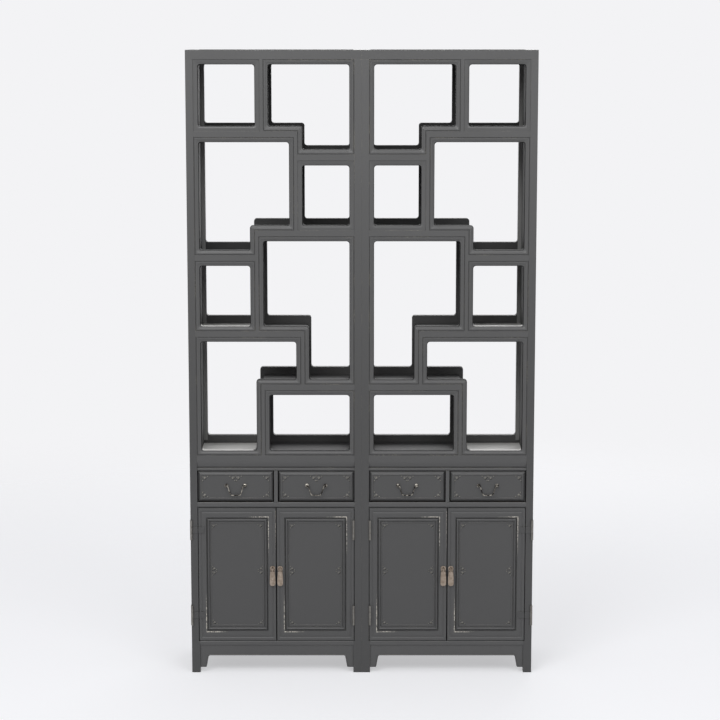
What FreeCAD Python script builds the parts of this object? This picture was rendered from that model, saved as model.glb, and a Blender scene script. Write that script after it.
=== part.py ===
import FreeCAD, Part
import math
import os
import re
import Sketcher
from FreeCAD import Placement, Rotation, Vector

# A pair of lacquered book cabinets that stand side by side as mirror images.
# Each has four posts, an open stepped lattice of shelves above, and two drawers
# over two panelled doors below. The left cabinet is modelled, and the right one
# is its mirror image about the plane between them.
# Frame: +Z up, the fronts face -Y, X = 0 is where the two cabinets meet, and
# the origin is on the floor under the middle of the pair.

# Driving sizes in millimetres, one row of the sheet each.
SIZES = (
    # The whole
    ("pair_width", 1100),
    ("cabinet_depth", 290),
    ("cabinet_height", 2000),
    # Posts, and the rebate at their inner front edge that takes lattice and doors
    ("post_width", 27),
    ("rebate_width", 4),
    ("rebate_depth", 23),
    # Top frame and its panel
    ("top_rail_height", 29),
    ("top_panel_thickness", 12),
    ("top_panel_drop", 3),
    # Stepped lattice: its bars, rails and the moulding round each opening
    ("lattice_foot", 717),
    ("lattice_thickness", 22),
    ("strip_width", 16),
    ("rail_height", 50),
    ("bar_width", 42),
    ("opening_radius", 9),
    ("outer_corner_radius", 9),
    ("least_radius", 1),
    ("lip_width", 5),
    ("lip_depth", 4),
    ("bead_start", 7.5),
    ("quirk_centre", 14.5),
    ("quirk_half_width", 1.5),
    ("quirk_depth", 2.4),
    ("frame_mitre_depth", 14),
    ("bar_mitre_depth", 16),
    # Boards behind the lattice
    ("shelf_thickness", 14),
    ("shelf_drop", 26),
    ("partition_thickness", 14),
    # Sides and back
    ("side_panel_thickness", 12),
    ("side_rail_thickness", 24),
    ("side_rail_setback", 3),
    ("back_panel_thickness", 8),
    # Front rails of the lower part
    ("waist_rail_height", 50),
    ("drawer_opening_height", 103),
    ("drawer_rail_height", 18),
    ("front_rail_thickness", 22),
    ("divider_width", 12),
    ("bottom_rail_top", 105),
    ("bottom_rail_height", 17),
    # Apron with its brackets
    ("apron_foot", 56),
    ("apron_thickness", 12),
    ("apron_setback", 3),
    ("apron_edge", 2.5),
    ("bracket_width", 27),
    ("bracket_foot_width", 20),
    ("bracket_foot", 17),
    ("bracket_radius", 6),
    # Boards inside the cupboard
    ("floor_thickness", 12),
    ("dust_board_thickness", 12),
    ("guide_height", 16),
    # Drawers
    ("drawer_gap", 3),
    ("drawer_front_thickness", 20),
    ("drawer_edge", 4),
    ("drawer_border", 12),
    ("drawer_field_depth", 1.2),
    ("drawer_side_gap", 3),
    ("drawer_side_thickness", 10),
    ("drawer_bottom_thickness", 6),
    ("drawer_box_height", 80),
    ("drawer_rear_gap", 19),
    ("running_gap", 0.3),
    # Bail handle of a drawer and the two posts that carry it
    ("bail_span", 59),
    ("bail_drop", 30),
    ("bail_wire", 3.6),
    ("bail_hole_gap", 0.08),
    ("bail_post_length", 12),
    ("bail_post_width", 6.4),
    ("bail_axis_height", 51.5),
    ("bail_axis_reach", 8.8),
    ("rosette_width", 13),
    ("rosette_thickness", 1.6),
    # Doors
    ("door_gap", 2),
    ("door_meeting_gap", 3),
    ("door_end_gap", 1.5),
    ("door_thickness", 22),
    ("door_proud", 0.3),
    ("stile_width", 42),
    ("door_rail_width", 52),
    ("door_panel_thickness", 8),
    ("door_panel_drop", 6),
    ("door_panel_tongue", 6),
    # Pendant pull of a door, whose middle is a little below the door's
    ("pull_sink", 3.5),
    ("pull_width", 19.5),
    ("pull_length", 65),
    ("pull_plate_height", 24),
    ("pull_plate_thickness", 2),
    ("pull_boss_width", 10),
    ("pull_boss_reach", 8),
    ("pull_axis_reach", 6.4),
    ("pull_axis_drop", 9),
    ("pull_slot_width", 4),
    ("pull_tang_gap", 0.4),
    ("pull_drop_thickness", 4),
    ("pull_shoulder_drop", 7.5),
    ("pull_pin_width", 2.4),
    ("pull_pin_gap", 0.08),
    ("pull_edge_gap", 0.9),
    # Hinges
    ("hinge_length", 65),
    ("hinge_head_inset", 71.5),
    ("hinge_foot_inset", 84.5),
    ("knuckle_width", 7),
    ("knuckle_gap", 0.3),
    ("hinge_pin_width", 2.5),
    ("hinge_pin_gap", 0.06),
    ("leaf_thickness", 0.8),
    ("side_leaf_thickness", 1.5),
    ("leaf_depth", 18),
    ("strap_thickness", 1.2),
    ("strap_reach", 20),
    ("inner_axis_inset", 27),
    ("outer_axis_inset", 3),
    # How far a cutter runs past what it cuts
    ("overrun", 1),
)

# Places and sizes that follow from the driving ones.
DERIVED = {
    "half_pair": "pair_width / 2",
    "middle": "0 - pair_width / 4",
    # The front hardware stands out, and the origin is under the middle of it all.
    "face": "(bail_post_length - cabinet_depth) / 2",
    "rear": "face + cabinet_depth",
    "post_inner": "post_width - half_pair",
    "housing": "post_inner - rebate_width",
    "housing_width": "half_pair - 2 * (post_width - rebate_width)",
    "inner_width": "half_pair - 2 * post_width",
    "post_height": "cabinet_height - top_rail_height",
    "lattice_height": "post_height - lattice_foot",
    "board_front": "face + lattice_thickness",
    "board_depth": "cabinet_depth - 2 * lattice_thickness",
    "side_front": "face + post_width",
    "side_depth": "cabinet_depth - 2 * post_width",
    "waist_foot": "lattice_foot - waist_rail_height",
    "drawer_rail_top": "waist_foot - drawer_opening_height",
    "drawer_rail_foot": "drawer_rail_top - drawer_rail_height",
    "bottom_rail_foot": "bottom_rail_top - bottom_rail_height",
    "ceiling": "cabinet_height - top_panel_drop - top_panel_thickness",
    "deck_top": "lattice_foot + strip_width - shelf_drop",
    "opening_top": "post_height - strip_width",
    "shelf_lift": "rail_height / 2 - shelf_drop",
    # Drawers
    "drawer_left": "housing + drawer_gap",
    "drawer_width": "(housing_width - divider_width) / 2 - 2 * drawer_gap",
    "drawer_foot": "drawer_rail_top + drawer_gap",
    "drawer_height": "waist_foot - drawer_rail_top - 2 * drawer_gap",
    "drawer_middle": "drawer_left + drawer_width / 2",
    "box_left": "post_inner + drawer_side_gap",
    "box_width": "middle - divider_width / 2 - drawer_side_gap - box_left",
    "box_foot": "drawer_rail_top + running_gap",
    "box_front": "face + drawer_front_thickness",
    "drawer_box_length": "cabinet_depth - rebate_depth - drawer_front_thickness - drawer_rear_gap",
    "bail_axis": "drawer_foot + bail_axis_height",
    # Doors
    "door_left": "post_inner - door_gap",
    "door_width": "middle - door_meeting_gap / 2 - door_left",
    "door_foot": "bottom_rail_top + door_end_gap",
    "door_height": "drawer_rail_foot - bottom_rail_top - 2 * door_end_gap",
    "door_face": "face - door_proud",
    "pull_top": "door_foot + door_height / 2 - pull_sink + pull_length / 2",
    "pull_axis": "pull_top - pull_axis_drop",
    "pull_middle": "door_left + door_width - pull_edge_gap - pull_width / 2",
    "hinge_high": "door_foot + door_height - hinge_head_inset",
    "hinge_low": "door_foot + hinge_foot_inset",
    "knuckle_length": "(hinge_length - 2 * knuckle_gap) / 3",
    "hinge_axis_y": "door_face - knuckle_width / 2",
    "outer_axis_x": "outer_axis_inset - half_pair",
    "inner_axis_x": "0 - inner_axis_inset",
}

# Height of the middle of each lattice rail, as a share of the lattice's height, from the top down,
# and distance of the middle of each upright bar from the outer side, as a share of the cabinet's width.
RAIL_PLACE_SHARES = {"one": 0.815, "two": 0.757, "three": 0.567, "four": 0.505, "five": 0.312, "six": 0.1755}
BAR_PLACE_SHARES = {"one": 0.429, "two": 0.6235, "three": 0.398, "four": 0.66}
for rail_name, rail_share in RAIL_PLACE_SHARES.items():
    DERIVED["rail_" + rail_name] = "lattice_foot + %s * lattice_height" % rail_share
for bar_name, bar_share in BAR_PLACE_SHARES.items():
    DERIVED["bar_" + bar_name] = "%s * half_pair" % bar_share

# Outlines as shares: (share of the depth back from the face, share of the height).
WAIST_SHARES = ((0.02, 1.0), (0.0, 0.94), (0.0, 0.64), (0.03, 0.52), (0.1, 0.4), (0.2, 0.28), (0.32, 0.18),
                (0.16, 0.16), (0.12, 0.08), (0.16, 0.0))
RAIL_SHARES = ((0.08, 1.0), (0.0, 0.86), (0.0, 0.3), (0.12, 0.0))
# Door moulding: (share of the width from the outer edge, share of the thickness).
DOOR_SHARES = ((0.0, 0.1), (0.04, 0.0), (0.17, 0.0), (0.2, 0.08), (0.27, 0.08), (0.31, 0.0), (0.61, 0.0),
               (0.65, 0.2), (0.69, 0.2), (0.73, 0.04), (1.0, 0.2))
# Half of a bail from its middle out: (share of the half span, share of the drop).
BAIL_SHARES = ((0.44, 1.0), (0.6, 0.9), (0.7, 0.66), (0.76, 0.38), (0.8, 0.13))
# Half of a pull's drop from the shoulder down: (share of the half width, share of the length).
DROP_SHARES = ((0.62, 0.0), (0.92, 0.07), (0.84, 0.2), (0.94, 0.34), (1.0, 0.6), (1.0, 0.86), (0.72, 0.96),
               (0.3, 1.0))
# Half of a pull's back plate from the foot up: (share of the half width, share of the height).
PLATE_SHARES = ((0.5, 0.0), (0.8, 0.12), (0.7, 0.4), (1.0, 0.56), (0.86, 0.8), (0.5, 0.94), (0.2, 1.0))

# Flat chords that round one corner of a lattice opening, and sides of the small turned pieces.
CORNER_CHORDS = 2
TURNED_SIDES = 8

DOC = FreeCAD.newDocument("book_cabinets")
SHEET = DOC.addObject("Spreadsheet::Sheet", "sizes")
ALIASES = set()
NODES = []


def fill_sheet():
    for row, (alias, value) in enumerate(SIZES, start=1):
        SHEET.set("A%d" % row, alias)
        SHEET.set("B%d" % row, str(value))
        SHEET.setAlias("B%d" % row, alias)
        ALIASES.add(alias)
    DOC.recompute()


def formula(text):
    """The text with derived names spelled out and each size read from the sheet."""
    def spell(match):
        word = match.group(0)
        if word in DERIVED:
            return "(" + formula(DERIVED[word]) + ")"
        if word in ALIASES:
            return "sizes." + word
        raise ValueError("unknown size " + word)
    return re.sub(r"(?!cos\b)\b[a-z][a-z_]*", spell, text)


def number(text):
    return float(SHEET.evalExpression(formula(text)))


def share_of(share, text):
    return "%s * (%s)" % (share, text)


def bind(thing, **formulas):
    for name, text in formulas.items():
        thing.setExpression(name, formula(text))


def place(thing, x, y, z, rotation=None):
    if rotation is not None:
        thing.Placement = Placement(Vector(), rotation)
    for axis, text in (("x", x), ("y", y), ("z", z)):
        thing.setExpression("Placement.Base." + axis, formula(text))
    return thing


def keep(thing, label):
    thing.Label = label
    NODES.append(thing)
    return thing


def board(name, x, y, z, wide, deep, tall):
    box = DOC.addObject("Part::Box", name)
    bind(box, Length=wide, Width=deep, Height=tall)
    return place(box, x, y, z)


def turned(name, x, y, z, width, length, rotation=None):
    """A small round piece, drawn with few sides that lie inside its width."""
    piece = DOC.addObject("Part::Prism", name)
    piece.Polygon = TURNED_SIDES
    bind(piece, Circumradius="(%s) / 2" % width, Height=length)
    return place(piece, x, y, z, rotation)


def faceted_bore(name, x, y, z, width, length, rotation=None):
    """A cutter for a small hole, whose few flat sides lie outside its width."""
    return turned(name, x, y, z, "(%s) / cos(180 / %d)" % (width, TURNED_SIDES), length, rotation)


def round_bore(name, x, y, z, width, length):
    """A cutter for a round hole along Z."""
    cylinder = DOC.addObject("Part::Cylinder", name)
    bind(cylinder, Radius="(%s) / 2" % width, Height=length)
    return place(cylinder, x, y, z)


def combine(kind, name, *pieces):
    """A cut, a union or a loose group of pieces, by the kind of the object."""
    thing = DOC.addObject("Part::" + kind, name)
    if kind == "Compound":
        thing.Links = list(pieces)
    elif kind == "MultiFuse":
        thing.Shapes = list(pieces)
    else:
        thing.Base, thing.Tool = pieces
    return thing


def mirrored(name, source, across="0 * pair_width", normal=Vector(1, 0, 0)):
    mirror = DOC.addObject("Part::Mirroring", name)
    mirror.Source = source
    mirror.Normal = normal
    axis = "x" if normal.x else "y"
    mirror.setExpression("Base." + axis, formula(across))
    return mirror


def origin_plane(body, role):
    return next(item for item in body.Origin.OriginFeatures if item.Role == role)


def outline(body, name, role, points, height=None):
    """A closed sketch whose corners are bound to the sheet, on an origin plane of the body."""
    sketch = body.newObject("Sketcher::SketchObject", name)
    sketch.AttachmentSupport = [(origin_plane(body, role), "")]
    sketch.MapMode = "FlatFace"
    if height is not None:
        sketch.setExpression("AttachmentOffset.Base.z", formula(height))
    add_loop(sketch, points)
    return sketch


def add_loop(sketch, points):
    first = sketch.GeometryCount
    corners = [Vector(number(across), number(up), 0) for across, up in points]
    count = len(corners)
    for index in range(count):
        sketch.addGeometry(Part.LineSegment(corners[index], corners[(index + 1) % count]))
    for index in range(count):
        follower = first + (index + 1) % count
        sketch.addConstraint(Sketcher.Constraint("Coincident", first + index, 2, follower, 1))
    for index, (across, up) in enumerate(points):
        for kind, text in (("DistanceX", across), ("DistanceY", up)):
            constraint = Sketcher.Constraint(kind, -1, 1, first + index, 1, number(text))
            place_number = sketch.addConstraint(constraint)
            sketch.setExpression("Constraints[%d]" % place_number, formula(text))


def pad(body, name, sketch, length, backwards=False):
    feature = body.newObject("PartDesign::Pad", name)
    feature.Profile = sketch
    feature.setExpression("Length", formula(length))
    feature.Reversed = backwards
    sketch.Visibility = False
    return feature


def new_body(name):
    return DOC.addObject("PartDesign::Body", name)


def rectangle(x, y, wide, deep):
    return ((x, y), ("%s + %s" % (x, wide), y), ("%s + %s" % (x, wide), "%s + %s" % (y, deep)),
            (x, "%s + %s" % (y, deep)))


def posts():
    """Four square legs; above the bottom rail the inner corner is rebated."""
    body = new_body("post_stock")
    leg = outline(body, "leg_section", "XY_Plane", rectangle("0", "0", "post_width", "post_width"))
    pad(body, "leg", leg, "bottom_rail_top")
    section = (("0", "0"), ("post_width - rebate_width", "0"), ("post_width - rebate_width", "rebate_depth"),
               ("post_width", "rebate_depth"), ("post_width", "post_width"), ("0", "post_width"))
    rebated = outline(body, "rebated_section", "XY_Plane", section, "bottom_rail_top")
    pad(body, "rebated_post", rebated, "post_height - bottom_rail_top")
    place(body, "0 - half_pair", "face", "0")
    front_inner = mirrored("front_inner_post", body, "middle")
    middle_depth = "face + cabinet_depth / 2"
    rear_outer = mirrored("rear_outer_post", body, middle_depth, Vector(0, 1, 0))
    rear_inner = mirrored("rear_inner_post", front_inner, middle_depth, Vector(0, 1, 0))
    return combine("Compound", "post_set", body, front_inner, rear_outer, rear_inner)


def mitred_bar(name, length, width, height):
    """A bar along X with both ends mitred towards its inner side, as its own body."""
    body = new_body(name)
    points = (("0", "0"), (length, "0"), ("%s - %s" % (length, width), width), (width, width))
    pad(body, name + "_length", outline(body, name + "_plan", "XY_Plane", points), height)
    return body


def top_frame():
    front = mitred_bar("top_front_rail", "half_pair", "post_width", "top_rail_height")
    place(front, "0 - half_pair", "face", "post_height")
    back = mirrored("top_back_rail", front, "face + cabinet_depth / 2", Vector(0, 1, 0))
    side = mitred_bar("top_side_rail", "cabinet_depth", "post_width", "top_rail_height")
    place(side, "0 - half_pair", "rear", "post_height", Rotation(Vector(0, 0, 1), -90))
    other_side = mirrored("top_inner_rail", side, "middle")
    panel = board("top_panel", "post_inner", "side_front", "ceiling", "inner_width", "side_depth",
                  "top_panel_thickness")
    return combine("Compound", "top_set", front, back, side, other_side, panel)


def offset_ring(corners, inset, depth, eased=True):
    """The opening's outline, moved out into the wood by inset, as a wire at that depth."""
    radius = number("opening_radius")
    outer_radius = number("outer_corner_radius")
    least = number("least_radius")
    count = len(corners)
    points = []
    for index, (x, z) in enumerate(corners):
        before = corners[index - 1]
        after = corners[(index + 1) % count]
        way_in = Vector(x - before[0], 0, z - before[1]).normalize()
        way_out = Vector(after[0] - x, 0, after[1] - z).normalize()
        turns_left = way_in.x * way_out.z - way_in.z * way_out.x > 0
        # The wood is on the right of a loop that runs anticlockwise round the opening.
        push = Vector(way_in.z + way_out.z, 0, -way_in.x - way_out.x) * inset
        if not eased:
            points.append(Vector(x, depth, z) + push)
            continue
        size = radius if turns_left else max(outer_radius - inset, least)
        centre = Vector(x, depth, z) + push + (way_out - way_in) * size
        for step in range(CORNER_CHORDS + 1):
            angle = math.pi / 2 * step / CORNER_CHORDS
            points.append(centre + (way_in * math.sin(angle) - way_out * math.cos(angle)) * size)
    return Part.makePolygon(points + points[:1])


def plug(corners, low_inset, low_depth, high_inset, high_depth, eased=True):
    """A solid that fills an opening between two of its offset outlines."""
    wires = [offset_ring(corners, low_inset, low_depth, eased),
             offset_ring(corners, high_inset, high_depth, eased)]
    return Part.makeLoft(wires, True, True)


def lattice_lines():
    """The edges that the openings and members of the lattice share, in the row frame."""
    lines = {"left": number("housing + strip_width"), "right": number("0 - post_width + rebate_width - strip_width"),
             "top": number("opening_top"), "foot": number("lattice_foot + strip_width")}
    half_rail = number("rail_height / 2")
    half_bar = number("bar_width / 2")
    for name in RAIL_PLACE_SHARES:
        centre = number("rail_" + name)
        lines["under_" + name] = centre - half_rail
        lines["over_" + name] = centre + half_rail
    for name in BAR_PLACE_SHARES:
        centre = number("bar_%s - half_pair" % name)
        lines["before_" + name] = centre - half_bar
        lines["after_" + name] = centre + half_bar
    return lines


# Corners of each opening, anticlockwise seen from the front: (upright line, level line).
OPENINGS = {
    "a": (("left", "over_one"), ("before_one", "over_one"), ("before_one", "top"), ("left", "top")),
    "b": (("after_one", "over_one"), ("after_two", "over_one"), ("after_two", "over_two"), ("right", "over_two"),
          ("right", "top"), ("after_one", "top")),
    "c": (("left", "over_four"), ("before_three", "over_four"), ("before_three", "over_three"),
          ("before_two", "over_three"), ("before_two", "under_one"), ("left", "under_one")),
    "d": (("after_two", "over_three"), ("right", "over_three"), ("right", "under_two"), ("after_two", "under_two")),
    "e": (("left", "over_five"), ("before_three", "over_five"), ("before_three", "under_four"),
          ("left", "under_four")),
    "f": (("after_three", "over_five"), ("after_four", "over_five"), ("after_four", "over_six"),
          ("right", "over_six"), ("right", "under_three"), ("after_three", "under_three")),
    "g": (("left", "foot"), ("before_one", "foot"), ("before_one", "over_six"), ("before_four", "over_six"),
          ("before_four", "under_five"), ("left", "under_five")),
    "h": (("after_one", "foot"), ("right", "foot"), ("right", "under_six"), ("after_one", "under_six")),
}


def moulding_cutter(corners, moulded):
    """What one opening takes out of the lattice: the hole, its lip and the quirk round its bead."""
    over = number("overrun")
    thickness = number("lattice_thickness")
    lip = number("lip_width")
    lip_depth = number("lip_depth")
    hole = plug(corners, 0, thickness + over, 0, -over)
    if not moulded:
        return [hole]
    slope = (number("bead_start") - lip) / lip_depth
    bead_side = plug(corners, lip, lip_depth, number("bead_start") + slope * over, -over)
    centre = number("quirk_centre")
    depth = number("quirk_depth")
    reach = number("quirk_half_width") * (depth + over) / depth
    outside = plug(corners, centre, depth, centre + reach, -over, False)
    inside = plug(corners, centre, depth, centre - reach, -over, False)
    return [hole, bead_side, outside.cut(inside)]


def point_end(cross, half, margin, level, depth, outward):
    """Mitred end of a member as (along, across) points, from its + side to its - side."""
    tip = max(half - depth, 0)
    points = [(level - outward * margin, cross + half + margin), (level + outward * depth, cross + tip)]
    if tip:
        points.append((level + outward * depth, cross - tip))
    points.append((level - outward * margin, cross - half - margin))
    return points


def corner_end(cross, half, margin, level, side, outward):
    """True mitre from the inner corner, on the given side, to the outer corner of an L."""
    slope = number("rail_height") / (2 * half)
    inner = (level - outward * margin * slope, cross + side * (half + margin))
    outer = (level + outward * (number("rail_height") + margin * slope), cross - side * (half + margin))
    return [inner, outer] if side > 0 else [outer, inner]


def plain_end(cross, half, margin, level, outward):
    """Square end that runs past the bar which is cut out of the rest before it."""
    return [(level + outward * margin, cross + half + margin), (level + outward * margin, cross - half - margin)]


def lattice_members(lines):
    """The prism of each member in the order they are taken: (x, z) outlines."""
    half_rail = number("rail_height / 2")
    half_bar = number("bar_width / 2")
    margin = number("opening_radius")
    frame_depth = number("frame_mitre_depth")
    bar_depth = number("bar_mitre_depth")

    def level_rail(name, low, high):
        centre = number("rail_" + name)
        ends = [make(centre, half_rail, margin, *rest) for make, rest in (low, high)]
        return [(along, across) for along, across in ends[0][::-1] + ends[1]]

    def upright(name, low, high):
        centre = number("bar_%s - half_pair" % name)
        ends = [make(centre, half_bar, margin, *rest) for make, rest in (low, high)]
        return [(across, along) for along, across in ends[0][::-1] + ends[1]]

    left = (point_end, (lines["left"], frame_depth, -1))
    right = (point_end, (lines["right"], frame_depth, 1))
    return [
        level_rail("two", (point_end, (lines["after_two"], bar_depth, -1)), right),
        level_rail("four", left, (point_end, (lines["before_three"], bar_depth, 1))),
        upright("one", (point_end, (lines["over_one"], half_bar, -1)), (point_end, (lines["top"], frame_depth, 1))),
        upright("two", (point_end, (lines["over_three"], half_bar, -1)), (corner_end, (lines["under_one"], -1, 1))),
        upright("three", (point_end, (lines["over_five"], half_bar, -1)),
                (corner_end, (lines["under_three"], 1, 1))),
        upright("four", (point_end, (lines["over_six"], half_bar, -1)), (corner_end, (lines["under_five"], -1, 1))),
        upright("one", (point_end, (lines["foot"], frame_depth, -1)), (corner_end, (lines["under_six"], 1, 1))),
        level_rail("one", left, (plain_end, (lines["after_two"], 1))),
        level_rail("three", (plain_end, (lines["before_three"], -1)), right),
        level_rail("five", left, (plain_end, (lines["after_four"], 1))),
        level_rail("six", (plain_end, (lines["before_one"], -1)), right),
    ]


def frame_strips():
    """The four mitred strips that run round the lattice."""
    over = number("overrun")
    strip = number("strip_width + opening_radius")
    low_x, high_x = number("housing"), number("housing + housing_width")
    low_z, high_z = number("lattice_foot"), number("post_height")
    outer = [(low_x - over, low_z - over), (high_x + over, low_z - over), (high_x + over, high_z + over),
             (low_x - over, high_z + over)]
    inner = [(low_x + strip, low_z + strip), (high_x - strip, low_z + strip), (high_x - strip, high_z - strip),
             (low_x + strip, high_z - strip)]
    return [[outer[side], outer[(side + 1) % 4], inner[(side + 1) % 4], inner[side]] for side in range(4)]


def prism(points, low, high):
    corners = [Vector(x, low, z) for x, z in points]
    return Part.Face(Part.makePolygon(corners + corners[:1])).extrude(Vector(0, high - low, 0))


def lattice(moulded):
    """One lattice, cut from a plate and parted along its joints, with its face at depth 0."""
    over = number("overrun")
    thickness = number("lattice_thickness")
    plate = Part.makeBox(number("housing_width"), thickness, number("lattice_height"),
                         Vector(number("housing"), 0, number("lattice_foot")))
    lines = lattice_lines()
    cutters = []
    for corners in OPENINGS.values():
        places = [(lines[upright], lines[level]) for upright, level in corners]
        cutters.extend(moulding_cutter(places, moulded))
    rest = plate.cut(cutters)
    pieces = []
    for points in lattice_members(lines) + frame_strips():
        tool = prism(points, -over, thickness + over)
        pieces.extend(rest.common(tool).Solids)
        rest = rest.cut(tool)
    return Part.makeCompound(pieces)


def front_lattice():
    feature = DOC.addObject("Part::Feature", "front_lattice_set")
    feature.Shape = lattice(True)
    return place(feature, "0", "face", "0")


def back_lattice():
    feature = DOC.addObject("Part::Feature", "back_lattice_set")
    feature.Shape = lattice(False).mirror(Vector(), Vector(0, 1, 0))
    return place(feature, "0", "rear", "0")


def shelf(name, rail, left, right):
    """A shelf board behind one lattice rail, from the left place to the right one."""
    foot = "%s + shelf_lift - shelf_thickness" % rail
    return board(name, left, "board_front", foot, "%s - (%s)" % (right, left), "board_depth", "shelf_thickness")


def shelf_boards():
    inner_end = "post_inner + inner_width"
    half = "partition_thickness / 2"
    deck = board("shelf_deck", "post_inner", "board_front", "deck_top - shelf_thickness", "inner_width",
                 "board_depth", "shelf_thickness")
    return combine(
        "Compound", "shelf_set", deck,
        shelf("shelf_one", "rail_one", "post_inner", "bar_two - half_pair + " + half),
        shelf("shelf_two", "rail_two", "bar_two - half_pair + " + half, inner_end),
        shelf("shelf_three", "rail_three", "bar_three - half_pair - " + half, inner_end),
        shelf("shelf_four", "rail_four", "post_inner", "bar_three - half_pair - " + half),
        shelf("shelf_five", "rail_five", "post_inner", "bar_four - half_pair + " + half),
        shelf("shelf_six", "rail_six", "bar_one - half_pair - " + half, inner_end))


def partition(name, bar, low, high, front="board_front", depth="board_depth"):
    left = "%s - half_pair - partition_thickness / 2" % bar
    return board(name, left, front, low, "partition_thickness", depth, "%s - (%s)" % (high, low))


def partitions():
    over = "%s + shelf_lift"
    under = "%s + shelf_lift - shelf_thickness"
    # The uppermost one reaches the top panel between the rails of the top frame.
    stem = partition("partition_stem", "bar_one", over % "rail_one", "post_height")
    head = partition("partition_head", "bar_one", "post_height", "ceiling", "side_front", "side_depth")
    return combine(
        "Compound", "partition_set", combine("MultiFuse", "partition_one", stem, head),
        partition("partition_two", "bar_two", over % "rail_three", under % "rail_one"),
        partition("partition_three", "bar_three", over % "rail_five", under % "rail_three"),
        partition("partition_four", "bar_four", over % "rail_six", under % "rail_five"),
        partition("partition_five", "bar_one", "deck_top", under % "rail_six"))


def side_panels():
    """Framed sides: thin panels between the posts, with a rail at the waist and at the foot."""
    panel_left = "post_inner - side_panel_thickness"
    rail_left = "side_rail_setback - half_pair"
    depth = "side_depth"
    waist = board("side_waist_rail", rail_left, "side_front", "waist_foot", "side_rail_thickness", depth,
                  "waist_rail_height")
    foot = board("side_foot_rail", rail_left, "side_front", "apron_foot", "side_rail_thickness", depth,
                 "bottom_rail_top - apron_foot")
    upper = board("side_upper_panel", panel_left, "side_front", "lattice_foot", "side_panel_thickness", depth,
                  "post_height - lattice_foot")
    lower = board("side_lower_panel", panel_left, "side_front", "bottom_rail_top", "side_panel_thickness", depth,
                  "waist_foot - bottom_rail_top")
    outer = combine("Compound", "outer_side_set", waist, foot, upper, lower)
    return combine("Compound", "side_set", outer, mirrored("inner_side_set", outer, "middle"))


def moulded_rail(name, shares, left, z, length, height):
    """A front rail between the posts, with the given moulding along its face."""
    body = new_body(name)
    points = [(share_of(back, "front_rail_thickness"), share_of(up, height)) for back, up in shares]
    points += [("front_rail_thickness", "0"), ("front_rail_thickness", height)]
    pad(body, name + "_length", outline(body, name + "_section", "YZ_Plane", points), length)
    return place(body, left, "face", z)


def front_rails():
    waist = moulded_rail("waist_rail", WAIST_SHARES, "housing", "waist_foot", "housing_width", "waist_rail_height")
    under_drawers = moulded_rail("drawer_rail", RAIL_SHARES, "housing", "drawer_rail_foot", "housing_width",
                                 "drawer_rail_height")
    foot = moulded_rail("bottom_rail", RAIL_SHARES, "post_inner", "bottom_rail_foot", "inner_width",
                        "bottom_rail_height")
    divider = board("drawer_divider", "middle - divider_width / 2", "face", "drawer_rail_top", "divider_width",
                    "front_rail_thickness", "waist_foot - drawer_rail_top")
    return combine("Compound", "front_rail_set", waist, under_drawers, foot, divider)


def edges_where(shape, test):
    return ["Edge%d" % (index + 1) for index, edge in enumerate(shape.Edges) if test(edge)]


def apron():
    """Apron under the doors, with a bracket at each leg and an eased lower edge."""
    body = new_body("apron_board")
    far = "inner_width"
    points = (("0", "bracket_foot"), ("bracket_foot_width", "bracket_foot"), ("bracket_width", "apron_foot"),
              (far + " - bracket_width", "apron_foot"), (far + " - bracket_foot_width", "bracket_foot"),
              (far, "bracket_foot"), (far, "bottom_rail_foot"), ("0", "bottom_rail_foot"))
    base = pad(body, "apron_stock", outline(body, "apron_outline", "XZ_Plane", points), "apron_thickness", True)
    DOC.recompute()
    corner_heights = (number("apron_foot"), number("bracket_foot"))
    ends = (0, number(far))

    def is_corner(edge):
        point = edge.CenterOfMass
        runs_back = edge.BoundBox.YLength > edge.BoundBox.XLength + edge.BoundBox.ZLength
        inside = all(abs(point.x - end) > number("overrun") for end in ends)
        return runs_back and inside and any(abs(point.z - level) < number("overrun") for level in corner_heights)

    rounding = body.newObject("PartDesign::Fillet", "bracket_rounding")
    rounding.Base = (base, edges_where(base.Shape, is_corner))
    rounding.setExpression("Radius", formula("bracket_radius"))
    return place(body, "post_inner", "face + apron_setback", "0")


def back_panel():
    depth = "back_panel_thickness"
    panel_front = "rear - rebate_depth"
    panel = board("rear_panel", "housing", panel_front, "bottom_rail_top", "housing_width", depth,
                  "waist_foot - bottom_rail_top")
    waist = board("rear_waist_rail", "housing", "rear - front_rail_thickness", "waist_foot", "housing_width",
                  "front_rail_thickness", "waist_rail_height")
    foot = board("rear_foot_rail", "post_inner", "rear - front_rail_thickness", "apron_foot", "inner_width",
                 "front_rail_thickness", "bottom_rail_top - apron_foot")
    return combine("Compound", "back_set", panel, waist, foot)


def cupboard_boards():
    """Floor of the cupboard, dust board under the drawers and the guide between them."""
    front = "face + front_rail_thickness"
    back = "rear - rebate_depth"
    depth = "%s - (%s)" % (back, front)
    floor = board("cupboard_floor", "post_inner", front, "bottom_rail_top - floor_thickness", "inner_width", depth,
                  "floor_thickness")
    dust = board("dust_board", "post_inner", front, "drawer_rail_top - dust_board_thickness", "inner_width", depth,
                 "dust_board_thickness")
    guide = board("drawer_guide", "middle - divider_width / 2", front, "drawer_rail_top", "divider_width", depth,
                  "guide_height")
    return combine("Compound", "board_set", floor, dust, guide)


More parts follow.
